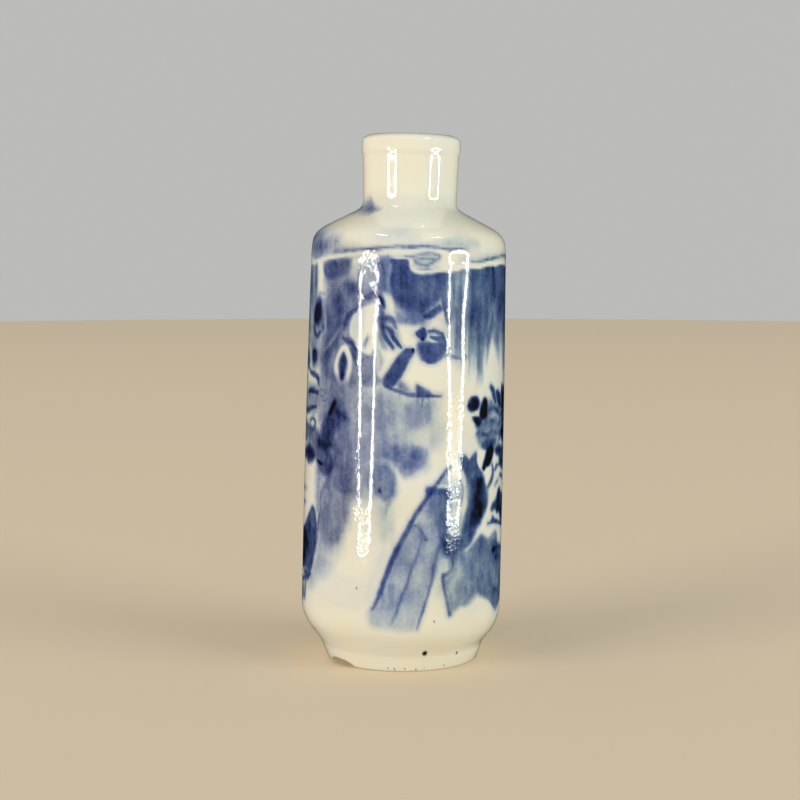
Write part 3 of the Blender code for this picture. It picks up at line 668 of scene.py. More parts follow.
def paint_crescent(p):
    """The dark crescent bundle on the standing figure's back, with a white inner edge."""
    p.wash([(8.2, 30.6), (8.5, 31.3), (9.2, 31.2), (9.8, 30.7), (10.5, 31.4), (11.1, 31.5), (11.3, 30.2),
            (11.9, 29), (12.9, 27.8), (13.7, 26), (13.9, 24.4), (13.4, 22.8), (12.3, 21.2), (11, 20),
            (9.6, 19.2), (8.6, 19.8), (9, 22), (9.5, 24), (9.7, 25.8), (9.4, 27.6), (8.8, 29)], 1.15, 0.3)
    p.wash([(10, 27.4), (11.8, 27.8), (12.9, 26.4), (13.1, 24.2), (12.4, 22.2), (11, 20.8), (9.8, 21.4),
            (10.2, 23.4), (10.4, 25.4)], 1.35, 0.3)
    p.wash([(11.4, 27.4), (12.2, 26.8), (12.3, 25.6), (11.9, 24.8), (12.4, 23.6), (12.5, 22.6),
            (11.6, 21.6), (10.7, 22.2), (11, 24.2)], 2.0, 0.25)
    p.wash([(10.6, 23.4), (11.6, 24.2), (12.5, 23.6), (12.2, 21.9), (11.1, 21.2), (10.4, 22)], 2.2, 0.3)
    p.spot(12.2, 27.2, 1.3, 1.6, 1.9, 0.3)
    p.wash([(5.6, 19), (6.4, 19.8), (8, 19.9), (10, 20.2), (11.4, 20.4), (10.4, 18.6), (8.6, 17.3),
            (6.6, 16.9), (5.6, 17.5)], 1.15, 0.35)
    p.wash([(7, 27), (8.6, 27.6), (8.9, 25.6), (8.2, 24), (7, 23.4)], 0.34, 0.35)
    p.wash([(7, 23), (8.4, 23), (9, 21.6), (8.4, 20.4), (7, 20.6)], 0.4, 0.4)
    p.stroke([(8.3, 27.8), (8.8, 26.4), (8.5, 24.9), (7.8, 24)], (0.25, 0.35, 0.2), 0.6)


def paint_leaves(p):
    """Leaves, berries and twigs on the right, with the three spots where the cobalt burnt black."""
    p.wash([(12.6, 37.8), (14.4, 38.6), (16, 38), (18.4, 38.6), (20.8, 38.8), (22, 34), (19.6, 32.6),
            (17, 33), (15, 32.4), (12.6, 31.8), (11.6, 32.8), (11.2, 34.2), (11.8, 35.2), (12.8, 35.2)],
           0.72, 0.4)
    for across, up, length, tilt, wide, amount in LEAF_TOUCHES:
        widths = (wide * 0.5, wide, wide * 0.4)
        paint_dab(p, across, up, length / 2, math.radians(tilt), widths, amount, 0.22)
    p.wash([(18.2, 39.8), (20, 40.2), (23, 40), (24, 36), (23, 32), (19.6, 32), (18.4, 33.4), (18.9, 35.6),
            (18.2, 38)], 1.35, 0.4)
    p.wash([(18.4, 34.6), (20.4, 34.6), (20.2, 33), (18.6, 33)], 2.0, 0.3)
    p.wash([(18.6, 39.2), (19.4, 39.4), (20, 38), (19, 36.6), (18.4, 37.8)], 2.1, 0.3)
    p.white_stroke([(13, 34.3), (15, 34.4), (16.6, 34.6)], (0.4, 0.5, 0.3), 0.3, 0.7)
    p.wash([(10.8, 35.6), (12, 35.9), (13.4, 35.4), (12.6, 34.6), (11.2, 34.7)], 0.8, 0.3)
    p.white_stroke([(14.2, 36.2), (15.6, 36.5), (17, 36)], (0.3, 0.6, 0.3), 0.3, 0.5)
    p.spot(10.35, 38.25, 2.25, 1.75, 2.7, 0.2)
    p.wash([(12.1, 38.3), (12.5, 38.8), (13, 38.8), (13.3, 38.1), (13.2, 36.6), (12.4, 36), (11.7, 36.5),
            (11.8, 37.5)], 2.8, 0.18)
    p.wash([(10.3, 36.4), (12, 36.2), (12, 35.4), (11.2, 35.2)], 2.1, 0.22)
    p.stroke([(14.2, 40.4), (15, 39.8), (15.3, 39), (15.8, 38.3)], (0.6, 1.1, 0.9, 0.5), 1.45, 0.2)
    p.stroke([(16.3, 39.6), (17, 38.8), (17.8, 37.6)], (0.8, 1.7, 0.9), 1.6, 0.2)
    p.stroke([(18.6, 40.3), (18.9, 39), (18.9, 37.4)], (0.7, 1.3, 0.9), 1.7, 0.2)
    p.stroke([(20.6, 41), (20.8, 39.4), (20.4, 37.4)], (0.6, 1.1, 0.7), 1.5, 0.2)
    p.wash([(12.2, 32.8), (14, 33.2), (16.4, 33), (15.6, 31.8), (13.4, 31.5), (12.2, 32)], 1.15, 0.3)
    p.white([(11.5, 31.8), (12.6, 31.7), (13.2, 31), (12.7, 29.8), (12.1, 28.9), (11.7, 29.2), (11.2, 30.4)],
            0.2, 0.05)
    p.wash([(15.3, 31.8), (14.4, 32.2), (13.5, 31.6), (12.9, 30.5), (12.4, 29), (13.1, 28.8), (14.2, 29.5),
            (15.1, 30.6)], 2.8, 0.22)
    p.white([(13, 28.9), (14.1, 29.2), (14.9, 28.4), (14.6, 27.3), (13.8, 26.6), (13.2, 27.4)], 0.2, 0.08)
    p.stroke([(15, 29.4), (15.3, 28.2), (14.9, 27), (14, 26.1)], (0.3, 0.6, 0.6, 0.3), 1.3, 0.2)
    p.wash([(15.9, 31.3), (16.8, 31.9), (18, 31.8), (18.6, 31.2), (17.8, 30.7), (16.6, 30.7)], 1.8, 0.25)
    p.wash([(17.6, 31.4), (19.4, 31.6), (22, 31), (24, 29), (22, 28), (19, 28.4), (17.6, 29.6)], 1.4, 0.35)
    p.wash([(15.4, 23.2), (16.2, 23.8), (16.9, 24.6), (17.4, 25.6), (18.2, 25.9), (18.8, 25.2),
            (20.4, 24.4), (23, 24), (24, 21), (21, 20.6), (19.4, 21.6), (17.8, 22.2), (16.6, 22.6)],
           1.5, 0.3)
    p.wash([(17, 23.6), (17.5, 25), (18.3, 25.3), (18.6, 24.4), (17.9, 22.4), (16.9, 22.3)], 2.3, 0.3)
    p.stroke([(15.2, 22.9), (16.2, 23.3), (17.4, 23.1), (18.4, 22.3)], (0.5, 1.1, 1.1, 0.6), 1.4, 0.3)
    p.wash([(18.4, 22.6), (21, 22.8), (24, 22), (24, 19.6), (20.4, 19.8), (19, 20.8)], 1.5, 0.3)
    p.wash([(14.1, 21), (14.9, 21.3), (15.5, 22), (16.2, 21.4), (17.8, 20.9), (20.5, 20.2), (20.4, 19.8),
            (17, 20.6), (15.2, 20.9)], 1.35, 0.2)


def paint_right_rocks(p):
    """The rocks low on the right: a wash, slanting wet strokes and dark hollows."""
    p.wash([(6.4, 17.4), (8.2, 17.7), (9.6, 17.5), (10.9, 18.4), (12.6, 19.7), (14.2, 19), (16, 19.7),
            (17.2, 19.3), (17.8, 18), (20, 17.2), (23, 16.6), (24, 11), (22, 9.4), (19.4, 8.6), (17.4, 8),
            (15.8, 9), (14.6, 9.9), (13.3, 10.7), (12, 11.1), (10.8, 10.4), (9.7, 9.8), (8.4, 9.6),
            (7, 8.8), (6.6, 10.8), (6, 13), (6.6, 14.8)], 0.8, 0.3)
    p.white([(7.7, 15.9), (9, 15.8), (9.2, 14.4), (7.9, 14.3)], 0.4, 0.6)
    p.white([(6.8, 17), (10, 17), (10.8, 13), (9.8, 9.8), (7.2, 9), (6, 12.6)], 0.9, 0.68)
    p.stroke([(7.25, 17.8), (7.2, 16.4), (7.1, 15.3), (6.4, 14.6), (5.9, 14.3), (6.1, 12.8), (6.5, 10.8),
              (6.95, 8.7)], (0.5, 0.5, 0.4, 0.6, 0.7, 0.5, 0.5, 0.55), 0.95, 0.2)
    for top, bottom, wide in ROCK_STROKES:
        p.stroke([top, bottom], (0.3, wide, 0.3), 0.5, 0.4)
    p.wash([(15, 18.4), (16.4, 18.6), (17.6, 17.8), (18.4, 16.2), (17.4, 15), (16, 15.6), (15.2, 16.8)],
           1.2, 0.4)
    p.spot(16.1, 17.1, 1.4, 1.1, 2.6, 0.25)
    p.stroke([(17.4, 17.2), (19.4, 16.9), (22.5, 16)], (0.4, 0.5, 0.4), 1.3, 0.2)
    p.stroke([(17, 15.8), (19.4, 15.3), (22, 14.6)], (0.4, 0.7, 0.5), 1.1, 0.3)
    p.wash([(16.2, 11.2), (17, 10.9), (17.4, 9.8), (17, 8.9), (16.3, 9.6), (16, 10.4)], 0.7, 0.25)
    p.stroke([(15.4, 12), (16.6, 11.2), (18.4, 10.4), (20.6, 9.6)], (0.2, 0.4, 0.6, 0.4), 0.8)


# ---- The sides and back, in the same manner: the rest of the landscape, with no figures ----

# How far across its width, and how high up, a hill's ridge and a rock's edge run.
HILL_RIDGE = ((-0.5, 0.0), (-0.35, 0.4), (-0.2, 0.75), (-0.05, 1.0), (0.12, 0.86), (0.3, 0.5), (0.5, 0.05))
ROCK_EDGE = ((-0.5, 0.0), (-0.42, 0.5), (-0.2, 0.86), (0.06, 1.0), (0.28, 0.76), (0.44, 0.4), (0.5, 0.0))

# Clumps of leaves on the tree past the left edge, past the right edge and on the pine at the back:
# across, up, width, height and cobalt.
LEFT_TUFTS = (
    (-25.6, 49, 5, 7, 1.0), (-30.5, 52.4, 7, 6.4, 1.15), (-26, 40.8, 5, 5, 0.9), (-31.4, 44.4, 6, 5, 0.9),
    (-25.6, 33.6, 4.6, 5, 1.0), (-31, 35, 5, 4, 0.8),
)
RIGHT_TUFTS = (
    (24.4, 36.6, 5, 7, 1.2), (27.4, 31.4, 5.4, 5, 1.0), (23.6, 26.4, 4, 4, 1.1), (29.6, 39.4, 4, 4, 0.8),
)
PINE_TUFTS = (
    (47.8, 50.6, 8.4, 5.4, 1.2), (42.4, 45, 7, 4.4, 1.05), (52.8, 43.4, 7, 4.4, 1.15),
    (42.2, 36.8, 5.4, 3.8, 0.95), (52, 34.6, 5.6, 3.8, 1.05),
)

# Ripples on the water at the back: across, up, width and cobalt.
RIPPLES = (
    (34, 30, 8, 0.5), (39.6, 27.6, 6, 0.4), (36.4, 23.6, 9, 0.5), (55.4, 28.8, 7, 0.45),
    (57.4, 24.4, 6, 0.4), (41, 19.6, 7, 0.5), (53.6, 20.2, 6, 0.4),
)


def paint_tuft(p, across, up, wide, high, amount, seed):
    """A clump of leaves: a soft wash, and dabs of the brush that fan out over it."""
    dice = np.random.default_rng(seed)
    ring = []
    for i in range(7):
        angle = math.tau * i / 7
        reach = dice.uniform(0.8, 1.1)
        ring.append((across + reach * wide / 2 * math.cos(angle), up + reach * high / 2 * math.sin(angle)))
    p.wash(ring, 0.55 * amount, 0.5)
    for i in range(max(4, round(wide * high / 4))):
        x = across + dice.uniform(-0.42, 0.42) * wide
        y = up + dice.uniform(-0.36, 0.36) * high
        turn = dice.uniform(-0.5, 0.5) + 1.2 * (x - across) / wide
        paint_dab(p, x, y, 1.1, turn, (0.5, 1.0, 0.4), amount * dice.uniform(0.8, 1.3), 0.25)


def paint_hill(p, across, up, wide, high, amount):
    """A far hill: a darker line along its ridge, and a wash that is lost in mist at its foot."""
    ridge = []
    for share, rise in HILL_RIDGE:
        ridge.append((across + share * wide, up + rise * high))
    p.wash([*ridge, (across + 0.25 * wide, up - 0.8), (across - 0.25 * wide, up - 0.9)], amount, 0.6)
    p.stroke(ridge, (0.4, 0.9, 1.1, 0.8, 0.4), 1.9 * amount, 0.3)
    p.white([(across - 0.5 * wide, up + 0.6), (across, up + 1.6), (across + 0.5 * wide, up + 0.6),
             (across, up - 1.6)], 0.8, 0.45)


def paint_rock(p, across, up, wide, high, amount):
    """A rock on the shore: a wet wash with a dark back edge and slanting strokes."""
    edge = []
    for share, rise in ROCK_EDGE:
        edge.append((across + share * wide, up + rise * high))
    p.wash([*edge, (across, up - 0.6)], amount, 0.3, 0.2)
    p.stroke(edge[:5], (0.6, 1.3, 1.1, 0.6), 1.7 * amount, 0.25)
    for share in (-0.2, 0.02, 0.22):
        x = across + share * wide
        line = []
        for slant, rise in ((0, 0.8), (0.1, 0.45), (0.12, 0.15)):
            line.append((x + slant * wide, up + rise * high))
        p.stroke(line, (0.5, 1.0, 0.4), 1.4 * amount, 0.3)


def paint_sides(p):
    """The trees past the left edge and the leaves past the right one."""
    p.stroke([(-27.6, 12), (-27, 22), (-28.4, 33), (-27, 44), (-28.6, 57)],
             (2.6, 1.9, 1.7, 1.3, 0.9), 1.25, 0.3)
    p.white_stroke([(-27.3, 16), (-27, 24), (-28.2, 33), (-27.3, 41)], (0.5, 0.8, 0.4), 0.3, 0.5)
    for across, up, wide, high, amount in LEFT_TUFTS:
        branch = [(-27.8, up - 2.4), ((across - 27.8) / 2, up - 0.8), (across, up)]
        p.stroke(branch, (0.9, 0.7, 0.4), 1.2, 0.25)
        paint_tuft(p, across, up, wide, high, amount, round(100 * up))
    p.wash([(-26, 18.6), (-31, 17.4), (-36, 15.4), (-41, 14.2), (-42, 12.4), (-36, 11.6), (-30, 11.4),
            (-24, 12.6)], 1.35, 0.3)
    p.wash([(-27, 11), (-34, 10.6), (-38, 9), (-30, 8), (-24, 8.4)], 0.4, 0.5)
    for across, up, wide, high, amount in RIGHT_TUFTS:
        paint_tuft(p, across, up, wide, high, amount, round(100 * up))
    p.stroke([(23, 20), (25.4, 27), (27.6, 33), (31, 40.4)], (1.2, 0.9, 0.7, 0.4), 1.3, 0.25)
    paint_rock(p, 26.6, 9.6, 9, 9.6, 0.72)
    paint_rock(p, 33.4, 8.8, 8, 6, 0.6)


def paint_back(p):
    """A leaning pine on a rocky shore, with water and far hills beyond it."""
    paint_hill(p, 36.6, 36, 11, 8.4, 0.42)
    paint_hill(p, 42.6, 34.6, 9, 5.6, 0.5)
    paint_hill(p, 56.4, 35.4, 10, 6.6, 0.4)
    for across, up, wide, amount in RIPPLES:
        line = [(across - wide / 2, up), (across, up + 0.3), (across + wide / 2, up - 0.1)]
        p.stroke(line, (0.4, 0.8, 0.3), amount, 0.35)
    paint_rock(p, 47.6, 8.6, 11, 8.4, 0.8)
    paint_rock(p, 41.6, 8.4, 7, 4.6, 0.6)
    p.stroke([(47, 14.6), (46, 21), (47.6, 28), (46.4, 35), (48.4, 42), (47.6, 49)],
             (2.4, 1.9, 1.7, 1.4, 1.1, 0.7), 1.3, 0.3)
    p.white_stroke([(47, 17), (46.2, 22), (47.5, 28), (46.6, 34)], (0.4, 0.7, 0.4), 0.3, 0.5)
    for across, up, wide, high, amount in PINE_TUFTS:
        branch = [(47.2, up - 3.6), ((across + 47.2) / 2, up - 1.6), (across, up - 0.4)]
        p.stroke(branch, (1.2, 0.9, 0.5), 1.25, 0.25)
        paint_tuft(p, across, up, wide, high, amount, round(100 * up))
    for i in range(6):
        x = 52.6 + 1.3 * i
        p.stroke([(x, 9.4), (x + 0.3, 11.4), (x + 0.9 + 0.15 * i, 13.4)], (0.9, 0.7, 0.3), 0.9, 0.25)


def paint_back_clouds(p):
    """The shoulder's bank of cloud, round the sides and back."""
    p.wash([(22, 60.8), (30, 61.4), (37, 60.4), (33, 59.2), (24, 59.2)], 0.3, 0.6)
    p.wash([(42, 61), (50, 61.6), (57, 60.6), (53, 59.4), (44, 59.6)], 0.36, 0.6)
    p.stroke([(20, 58.7), (26, 58.3), (31, 59.2), (36, 59.4), (40, 58.2), (45, 58.6), (50, 59.5),
              (55, 58.9), (60, 58.2), (66, 58.9), (70, 58.6)],
             (0.8, 0.6, 0.9, 0.6, 0.8, 0.6, 0.8), 0.75, 0.25)
    p.stroke([(35.4, 57.6), (37.6, 57.2), (38.6, 58), (37, 59.4)], (0.6,), 0.7, 0.25)
    p.stroke([(53, 57.8), (55, 57.2), (56.4, 58), (55, 59)], (0.6,), 0.7, 0.25)
    p.white_stroke([(24, 57.7), (28, 57.3), (33, 57.6), (38, 56.4), (44, 57), (50, 58), (56, 56.8),
                    (60, 57.2), (64, 57.4), (70, 57.2)], (0.8,), 0.2, 0.1)


def paint_all(p):
    """All that is painted round the bottle, from the far things to the near ones."""
    paint_back(p)
    paint_sides(p)
    paint_shoulder(p)
    paint_cliff(p)
    paint_left_trees(p)
    paint_left_bank(p)
    paint_head(p)
    paint_ear_disc(p)
    paint_robe(p)
    paint_left_sleeve(p)
    paint_arm(p)
    paint_second_robe(p)
    paint_crescent(p)
    paint_leaves(p)
    paint_right_rocks(p)
    paint_cloud_bands(p)
    paint_back_clouds(p)


# ---- The form ----


def arc(centre, radius, start, end, steps=ARC_STEPS):
    """Points (r, z) on an arc; the angles are in radians, from the +r direction."""
    angles = np.linspace(start, end, steps + 1)
    return [(centre[0] + radius * math.cos(a), centre[1] + radius * math.sin(a)) for a in angles]


def round_corner(before, corner, after, radius, steps=ARC_STEPS):
    """Points (r, z) of the arc of this radius that is tangent to both sides of a corner."""
    corner = np.array(corner)
    a = np.array(before) - corner
    b = np.array(after) - corner
    a = a / np.linalg.norm(a)
    b = b / np.linalg.norm(b)
    half = math.acos(a @ b) / 2
    centre = corner + (a + b) / np.linalg.norm(a + b) * radius / math.sin(half)
    first = corner + a * radius / math.tan(half) - centre
    last = corner + b * radius / math.tan(half) - centre
    start = math.atan2(first[1], first[0])
    sweep = math.atan2(first[0] * last[1] - first[1] * last[0], first @ last)
    return arc(centre, radius, start, start + sweep, steps)


def soft_corner(before, corner, after, reach, tightness, steps=ARC_STEPS):
    """Points of a curve that turns a corner gently at its ends and most sharply at its middle."""
    corner = np.array(corner)
    a = np.array(before) - corner
    b = np.array(after) - corner
    first = corner + a / np.linalg.norm(a) * reach
    last = corner + b / np.linalg.norm(b) * reach
    found = []
    for t in np.linspace(0, 1, steps + 1):
        shares = np.array([(1 - t) ** 2, 2 * t * (1 - t) * tightness, t * t])
        point = (shares[0] * first + shares[1] * corner + shares[2] * last) / shares.sum()
        found.append(tuple(point))
    return found


def shoulder_height(radius, below=0.0):
    """Height of the sloping shoulder at a radius, or of a line below it by a wall's thickness."""
    outer_edge = BODY_SHOULDER_HEIGHT + SHOULDER_ROUND * math.tan((math.pi / 2 - SHOULDER_SLOPE) / 2)
    rise = (BODY_SHOULDER_RADIUS - radius) * math.tan(SHOULDER_SLOPE)
    return outer_edge + rise - below / math.cos(SHOULDER_SLOPE)


def swelling_side(top, bottom, steps=ARC_STEPS):
    """Points between the two ends of the body's side, which is very slightly barrel-shaped."""
    found = []
    for t in np.linspace(0, 1, steps + 1)[1:-1]:
        radius = top[0] + (bottom[0] - top[0]) * t + BODY_BULGE * 4 * t * (1 - t)
        found.append((radius, top[1] + (bottom[1] - top[1]) * t))
    return found


def lip_and_neck():
    """From the rim's flat top over the rolled lip and down the neck, which narrows to its foot."""
    quarter = arc((0.0, 0.0), 1.0, math.pi / 2, 0.0)
    lip = [(LIP_RADIUS - LIP_ROUND * (1 - r), LIP_MIDDLE + (HEIGHT - LIP_MIDDLE) * z) for r, z in quarter]
    neck = smooth_curve([lip[-1], *reversed(NECK_SWELLING)], False)
    return lip + [tuple(row) for row in neck[1:]]


def outer_profile():
    """The outside from the rim's flat top down to the ring that the bottle stands on."""
    neck_foot = (NECK_BASE_RADIUS, shoulder_height(NECK_BASE_RADIUS))
    lip = lip_and_neck()
    shoulder_edge = (BODY_SHOULDER_RADIUS, shoulder_height(BODY_SHOULDER_RADIUS))
    body_foot = (BODY_FOOT_RADIUS, BODY_FOOT_HEIGHT)
    foot_top = (FOOT_TOP_RADIUS, FOOT_TOP_HEIGHT)
    chamfer_drop = (BODY_FOOT_RADIUS - FOOT_TOP_RADIUS) / math.tan(CHAMFER_FROM_UPRIGHT)
    chamfer_edge = (BODY_FOOT_RADIUS, FOOT_TOP_HEIGHT + chamfer_drop)
    foot_edge = (FOOT_EDGE_RADIUS, -GRINDING)
    neck_fillet = soft_corner(NECK_SWELLING[0], neck_foot, shoulder_edge, *NECK_CURVE)
    shoulder = soft_corner(neck_foot, shoulder_edge, body_foot, *SHOULDER_CURVE)
    chamfer = round_corner(shoulder_edge, chamfer_edge, foot_top, CHAMFER_ROUND)
    side = swelling_side(shoulder[-1], chamfer[0])
    foot_fillet = round_corner(chamfer_edge, foot_top, foot_edge, FOOT_FILLET)
    foot_round = round_corner(foot_top, foot_edge, (RING_INNER_RADIUS, -GRINDING), FOOT_ROUND)
    ring = [(RING_INNER_RADIUS, -GRINDING)]
    return lip + neck_fillet + shoulder + side + chamfer + foot_fillet + foot_round + ring


def underside_profile():
    """From the ring's inner edge up into the shallow recess, and in almost to the axis."""
    edge = (RING_INNER_RADIUS, -GRINDING)
    recess_corner = (RING_INNER_RADIUS - RING_INNER_ROUND, RECESS_DEPTH)
    ring = arc((edge[0], edge[1] + RING_INNER_ROUND), RING_INNER_ROUND, -math.pi / 2, -math.pi)
    recess = round_corner(ring[-1], recess_corner, (0.0, RECESS_DEPTH), RECESS_CORNER)
    return ring + recess + [(AXIS_GAP, RECESS_DEPTH)]


def inner_profile():
    """Up the inside from beside the axis to the bore, and the mouth's round edge out to the rim."""
    body_foot = BODY_FOOT_RADIUS - WALL
    body_shoulder = BODY_SHOULDER_RADIUS - WALL
    floor_corner = (body_foot, INNER_FLOOR)
    shoulder_corner = (body_shoulder, shoulder_height(body_shoulder, WALL))
    neck_corner = (MOUTH_RADIUS, shoulder_height(MOUTH_RADIUS, WALL))
    mouth_edge = (MOUTH_RADIUS, HEIGHT)
    floor = round_corner((0.0, INNER_FLOOR), floor_corner, shoulder_corner, INNER_CORNER)
    shoulder = round_corner(floor_corner, shoulder_corner, neck_corner, INNER_SHOULDER_ROUND)
    neck = round_corner(shoulder_corner, neck_corner, mouth_edge, INNER_NECK_ROUND)
    mouth = round_corner(neck_corner, mouth_edge, (LIP_RADIUS, HEIGHT), MOUTH_ROUND)
    bore = [(MOUTH_RADIUS, HEIGHT - 2 * MOUTH_ROUND)]
    return [(AXIS_GAP, INNER_FLOOR)] + floor + shoulder + neck + bore, mouth


def spaced(points, spacing):
    """Points along a line, so far apart as spacing gives for each place's height."""
    line = np.array(points)
    steps = np.hypot(*np.diff(line, axis=0).T)
    line = line[np.append(True, steps > 1e-9)]
    steps = steps[steps > 1e-9]
    length = np.append(0, np.cumsum(steps))
    fine = np.linspace(0, length[-1], 4000)
    radius = np.interp(fine, length, line[:, 0])
    height = np.interp(fine, length, line[:, 1])
    per_step = 1 / spacing(radius, height)
    count = np.append(0, np.cumsum((per_step[1:] + per_step[:-1]) / 2 * np.diff(fine)))
    rows = np.linspace(0, count[-1], math.ceil(count[-1]) + 1)
    places = np.interp(rows, count, fine)
    return np.column_stack([np.interp(places, length, line[:, 0]), np.interp(places, length, line[:, 1])])


def outer_spacing(radius, height):
    """Close rows where the painting and the foot's detail are, and wider ones up the neck."""
    heights = (-0.4, 1.0, 3.6, 6.5, 61.6, 63.2, 64.8, 66.2, 67.6, 71.8, 72.5, 74.4, HEIGHT)
    widths = (0.22, 0.24, 0.27, 0.29, 0.29, 0.4, 0.3, 0.22, 0.6, 0.6, 0.16, 0.16, 0.3)
    return np.interp(height, heights, widths)


def wide_spacing(radius, height):
    """Wide rows, and closer ones near the axis, whatever their height."""
    return np.where(radius < AXIS_ROWS_WITHIN, AXIS_ROWS, WIDE_ROWS)


def column_angles():
    """Angles from the front, all the way round, closer together on the painted front."""
    right = [0.0]
    for limit, step in COLUMN_BANDS:
        count = round((limit - right[-1]) / step)
        right += list(np.linspace(right[-1], limit, count + 1)[1:])
    left = [-a for a in reversed(right[1:-1])]
    return np.radians(np.array(left + right))


def unevenness(across, up):
    """How far hand throwing and the glaze's own thickness push the outside in or out."""
    slow = THROWING_WAVE * mottle(across, up, 15.0, 40.0, 1)
    ripple = GLAZE_RIPPLE * mottle(across, up, 4.6, 12.0, 2)
    return slow + ripple + GLAZE_GRAIN * mottle(across, up, 1.7, 2.6, 3)


def groove(angles, heights):
    """The extra hollow between the chamfer and the foot, on the right-hand side."""
    side = np.clip(np.sin(angles), 0, 1)
    return -GROOVE_DEPTH * side * np.exp(-(((heights - GROOVE_HEIGHT) / GROOVE_HALF_WIDTH) ** 2))


def leaning(radii, heights, angles, foot_x):
    """Places in the scene of points given round the leaning axis."""
    x = radii * np.sin(angles)
    shift = FOOT_SHIFT * (1 - ramp(heights, 0.0, FOOT_SHIFT_TOP))
    return np.column_stack([
        foot_x + (x + shift) * math.cos(LEAN) + heights * math.sin(LEAN),
        -radii * np.cos(angles),
        heights * math.cos(LEAN) - x * math.sin(LEAN),
    ])


def chipped(places, foot_x):
    """Moves the places inside the chip on to its surface, and says which they are."""
    outwards = np.array([math.sin(CHIP_ANGLE), -math.cos(CHIP_ANGLE), 0.0])
    along = np.array([-outwards[1], outwards[0], 0.0])
    upwards = np.array([0.0, 0.0, 1.0])
    middle = np.array([foot_x, 0.0, CHIP_HEIGHT]) + CHIP_RADIUS * outwards
    axes = np.array([outwards, along, upwards]) / np.array(CHIP_HALF_SIZES)[:, None]
    pull = upwards * CHIP_UPWARDS - outwards * CHIP_INWARDS
    inwards = axes @ pull
    unit = (places - middle) @ axes.T
    a = inwards @ inwards
    b = unit @ inwards
    c = np.einsum("ij,ij->i", unit, unit) - 1
    inside = c < 0
    reach = np.where(inside, (-b + np.sqrt(np.maximum(b * b - a * c, 0))) / a, 0)
    flakes = mottle(places[:, 0] * 1.3 + 40, places[:, 1] + places[:, 2] + 40, 0.55, 0.5, 5)
    reach *= 1 + CHIP_FLAKES * flakes
    moved = places + reach[:, None] * pull
    return moved, inside & (reach > 0.05)


def middle_of_width(profile):
    """Where the middle of the leaning bottle's width lies, from where its axis meets the floor."""
    radii, heights = np.array(profile).T
    left = (heights * math.sin(LEAN) - radii * math.cos(LEAN)).min()
    right = (heights * math.sin(LEAN) + radii * math.cos(LEAN)).max()
    return (left + right) / 2


def ring_faces(first, second):
    """Faces between two rings of vertex numbers, of which one may have several times the columns."""
    if len(first) == len(second):
        return np.column_stack([first, second, np.roll(second, -1), np.roll(first, -1)]).tolist()
    widens = len(second) > len(first)
    wide, close = (second, first) if widens else (first, second)
    share = len(wide) // len(close)
    faces = []
    for k, here in enumerate(close):
        beyond = close[(k + 1) % len(close)]
        for j in range(share):
            one, two = wide[k * share + j], wide[(k * share + j + 1) % len(wide)]
            corner = here if j < share // 2 else beyond
            faces.append((corner, one, two) if widens else (one, corner, two))
        middle = wide[k * share + share // 2]
        faces.append((here, middle, beyond) if widens else (middle, here, beyond))
    return faces


def bottle_shape():
    """The bottle as rings of vertices from the inner floor round the lip to the underside.

    Along is each vertex's way along the profile, and zone each face's band: 0 inside, 1 outside
    and 2 under the foot.
    """
    fine = column_angles()
    coarse = fine[::COARSE_SHARE]
    inside, mouth = inner_profile()
    outside = outer_profile()
    foot_x = -middle_of_width(outside)
    bands = (
        (spaced(inside, wide_spacing), coarse),
        (spaced(mouth + outside, outer_spacing), fine),
        (spaced(underside_profile(), wide_spacing)[1:], coarse),
    )
    rings = [(r, h, angles, band) for band, (rows, angles) in enumerate(bands) for r, h in rows]
    steps = [math.hypot(b[0] - a[0], b[1] - a[1]) for a, b in zip(rings, rings[1:])]
    way = np.append(0, np.cumsum(steps))
    sizes = [len(angles) for _, _, angles, _ in rings]
    starts = np.append(0, np.cumsum(sizes))
    radii = np.repeat([ring[0] for ring in rings], sizes)
    heights = np.repeat([ring[1] for ring in rings], sizes)
    band = np.repeat([ring[3] for ring in rings], sizes)
    angles = np.concatenate([ring[2] for ring in rings])
    across = angles / math.tau * ROUND_MM
    outer = band == 1
    uneven = outer * ramp(radii, MOUTH_RADIUS + MOUTH_ROUND, LIP_RADIUS - LIP_ROUND)
    radii = radii + uneven * (unevenness(across, heights) + groove(angles, heights))
    places = leaning(radii, heights, angles, foot_x)
    low = outer & (heights < CHAMFER_ROUND)
    places[low, 2] = np.maximum(places[low, 2], 0)
    moved, bitten = chipped(places, foot_x)
    bitten &= low
    places[bitten] = moved[bitten]
    numbers = [np.arange(a, b) for a, b in zip(starts, starts[1:])]
    faces = []
    zones = []
    for i, (one, two) in enumerate(zip(numbers, numbers[1:])):
        found = ring_faces(one, two)
        faces += found
        zones += [max(rings[i][3], rings[i + 1][3]) if rings[i][3] else 0] * len(found)
    floor_pole, recess_pole = int(starts[-1]), int(starts[-1]) + 1
    first, last = numbers[0], numbers[-1]
    faces += [(floor_pole, a, b) for a, b in zip(first, np.roll(first, -1))]
    faces += [(a, recess_pole, b) for a, b in zip(last, np.roll(last, -1))]
    zones += [0] * len(first) + [2] * len(last)
    poles = leaning(np.zeros(2), np.array([INNER_FLOOR, RECESS_DEPTH]), np.zeros(2), foot_x)
    return {
        "places": np.vstack([places, poles]),
        "faces": faces,
        "zones": np.array(zones),
        "across": np.append(across, [0, 0]),
        "up": np.append(heights, [INNER_FLOOR, RECESS_DEPTH]),
        "along": np.append(np.repeat(way, sizes), [way[0] - AXIS_GAP, way[-1] + AXIS_GAP]),
        "outer": np.append(outer, [False, False]),
        "bitten": np.append(bitten, [False, False]),
    }


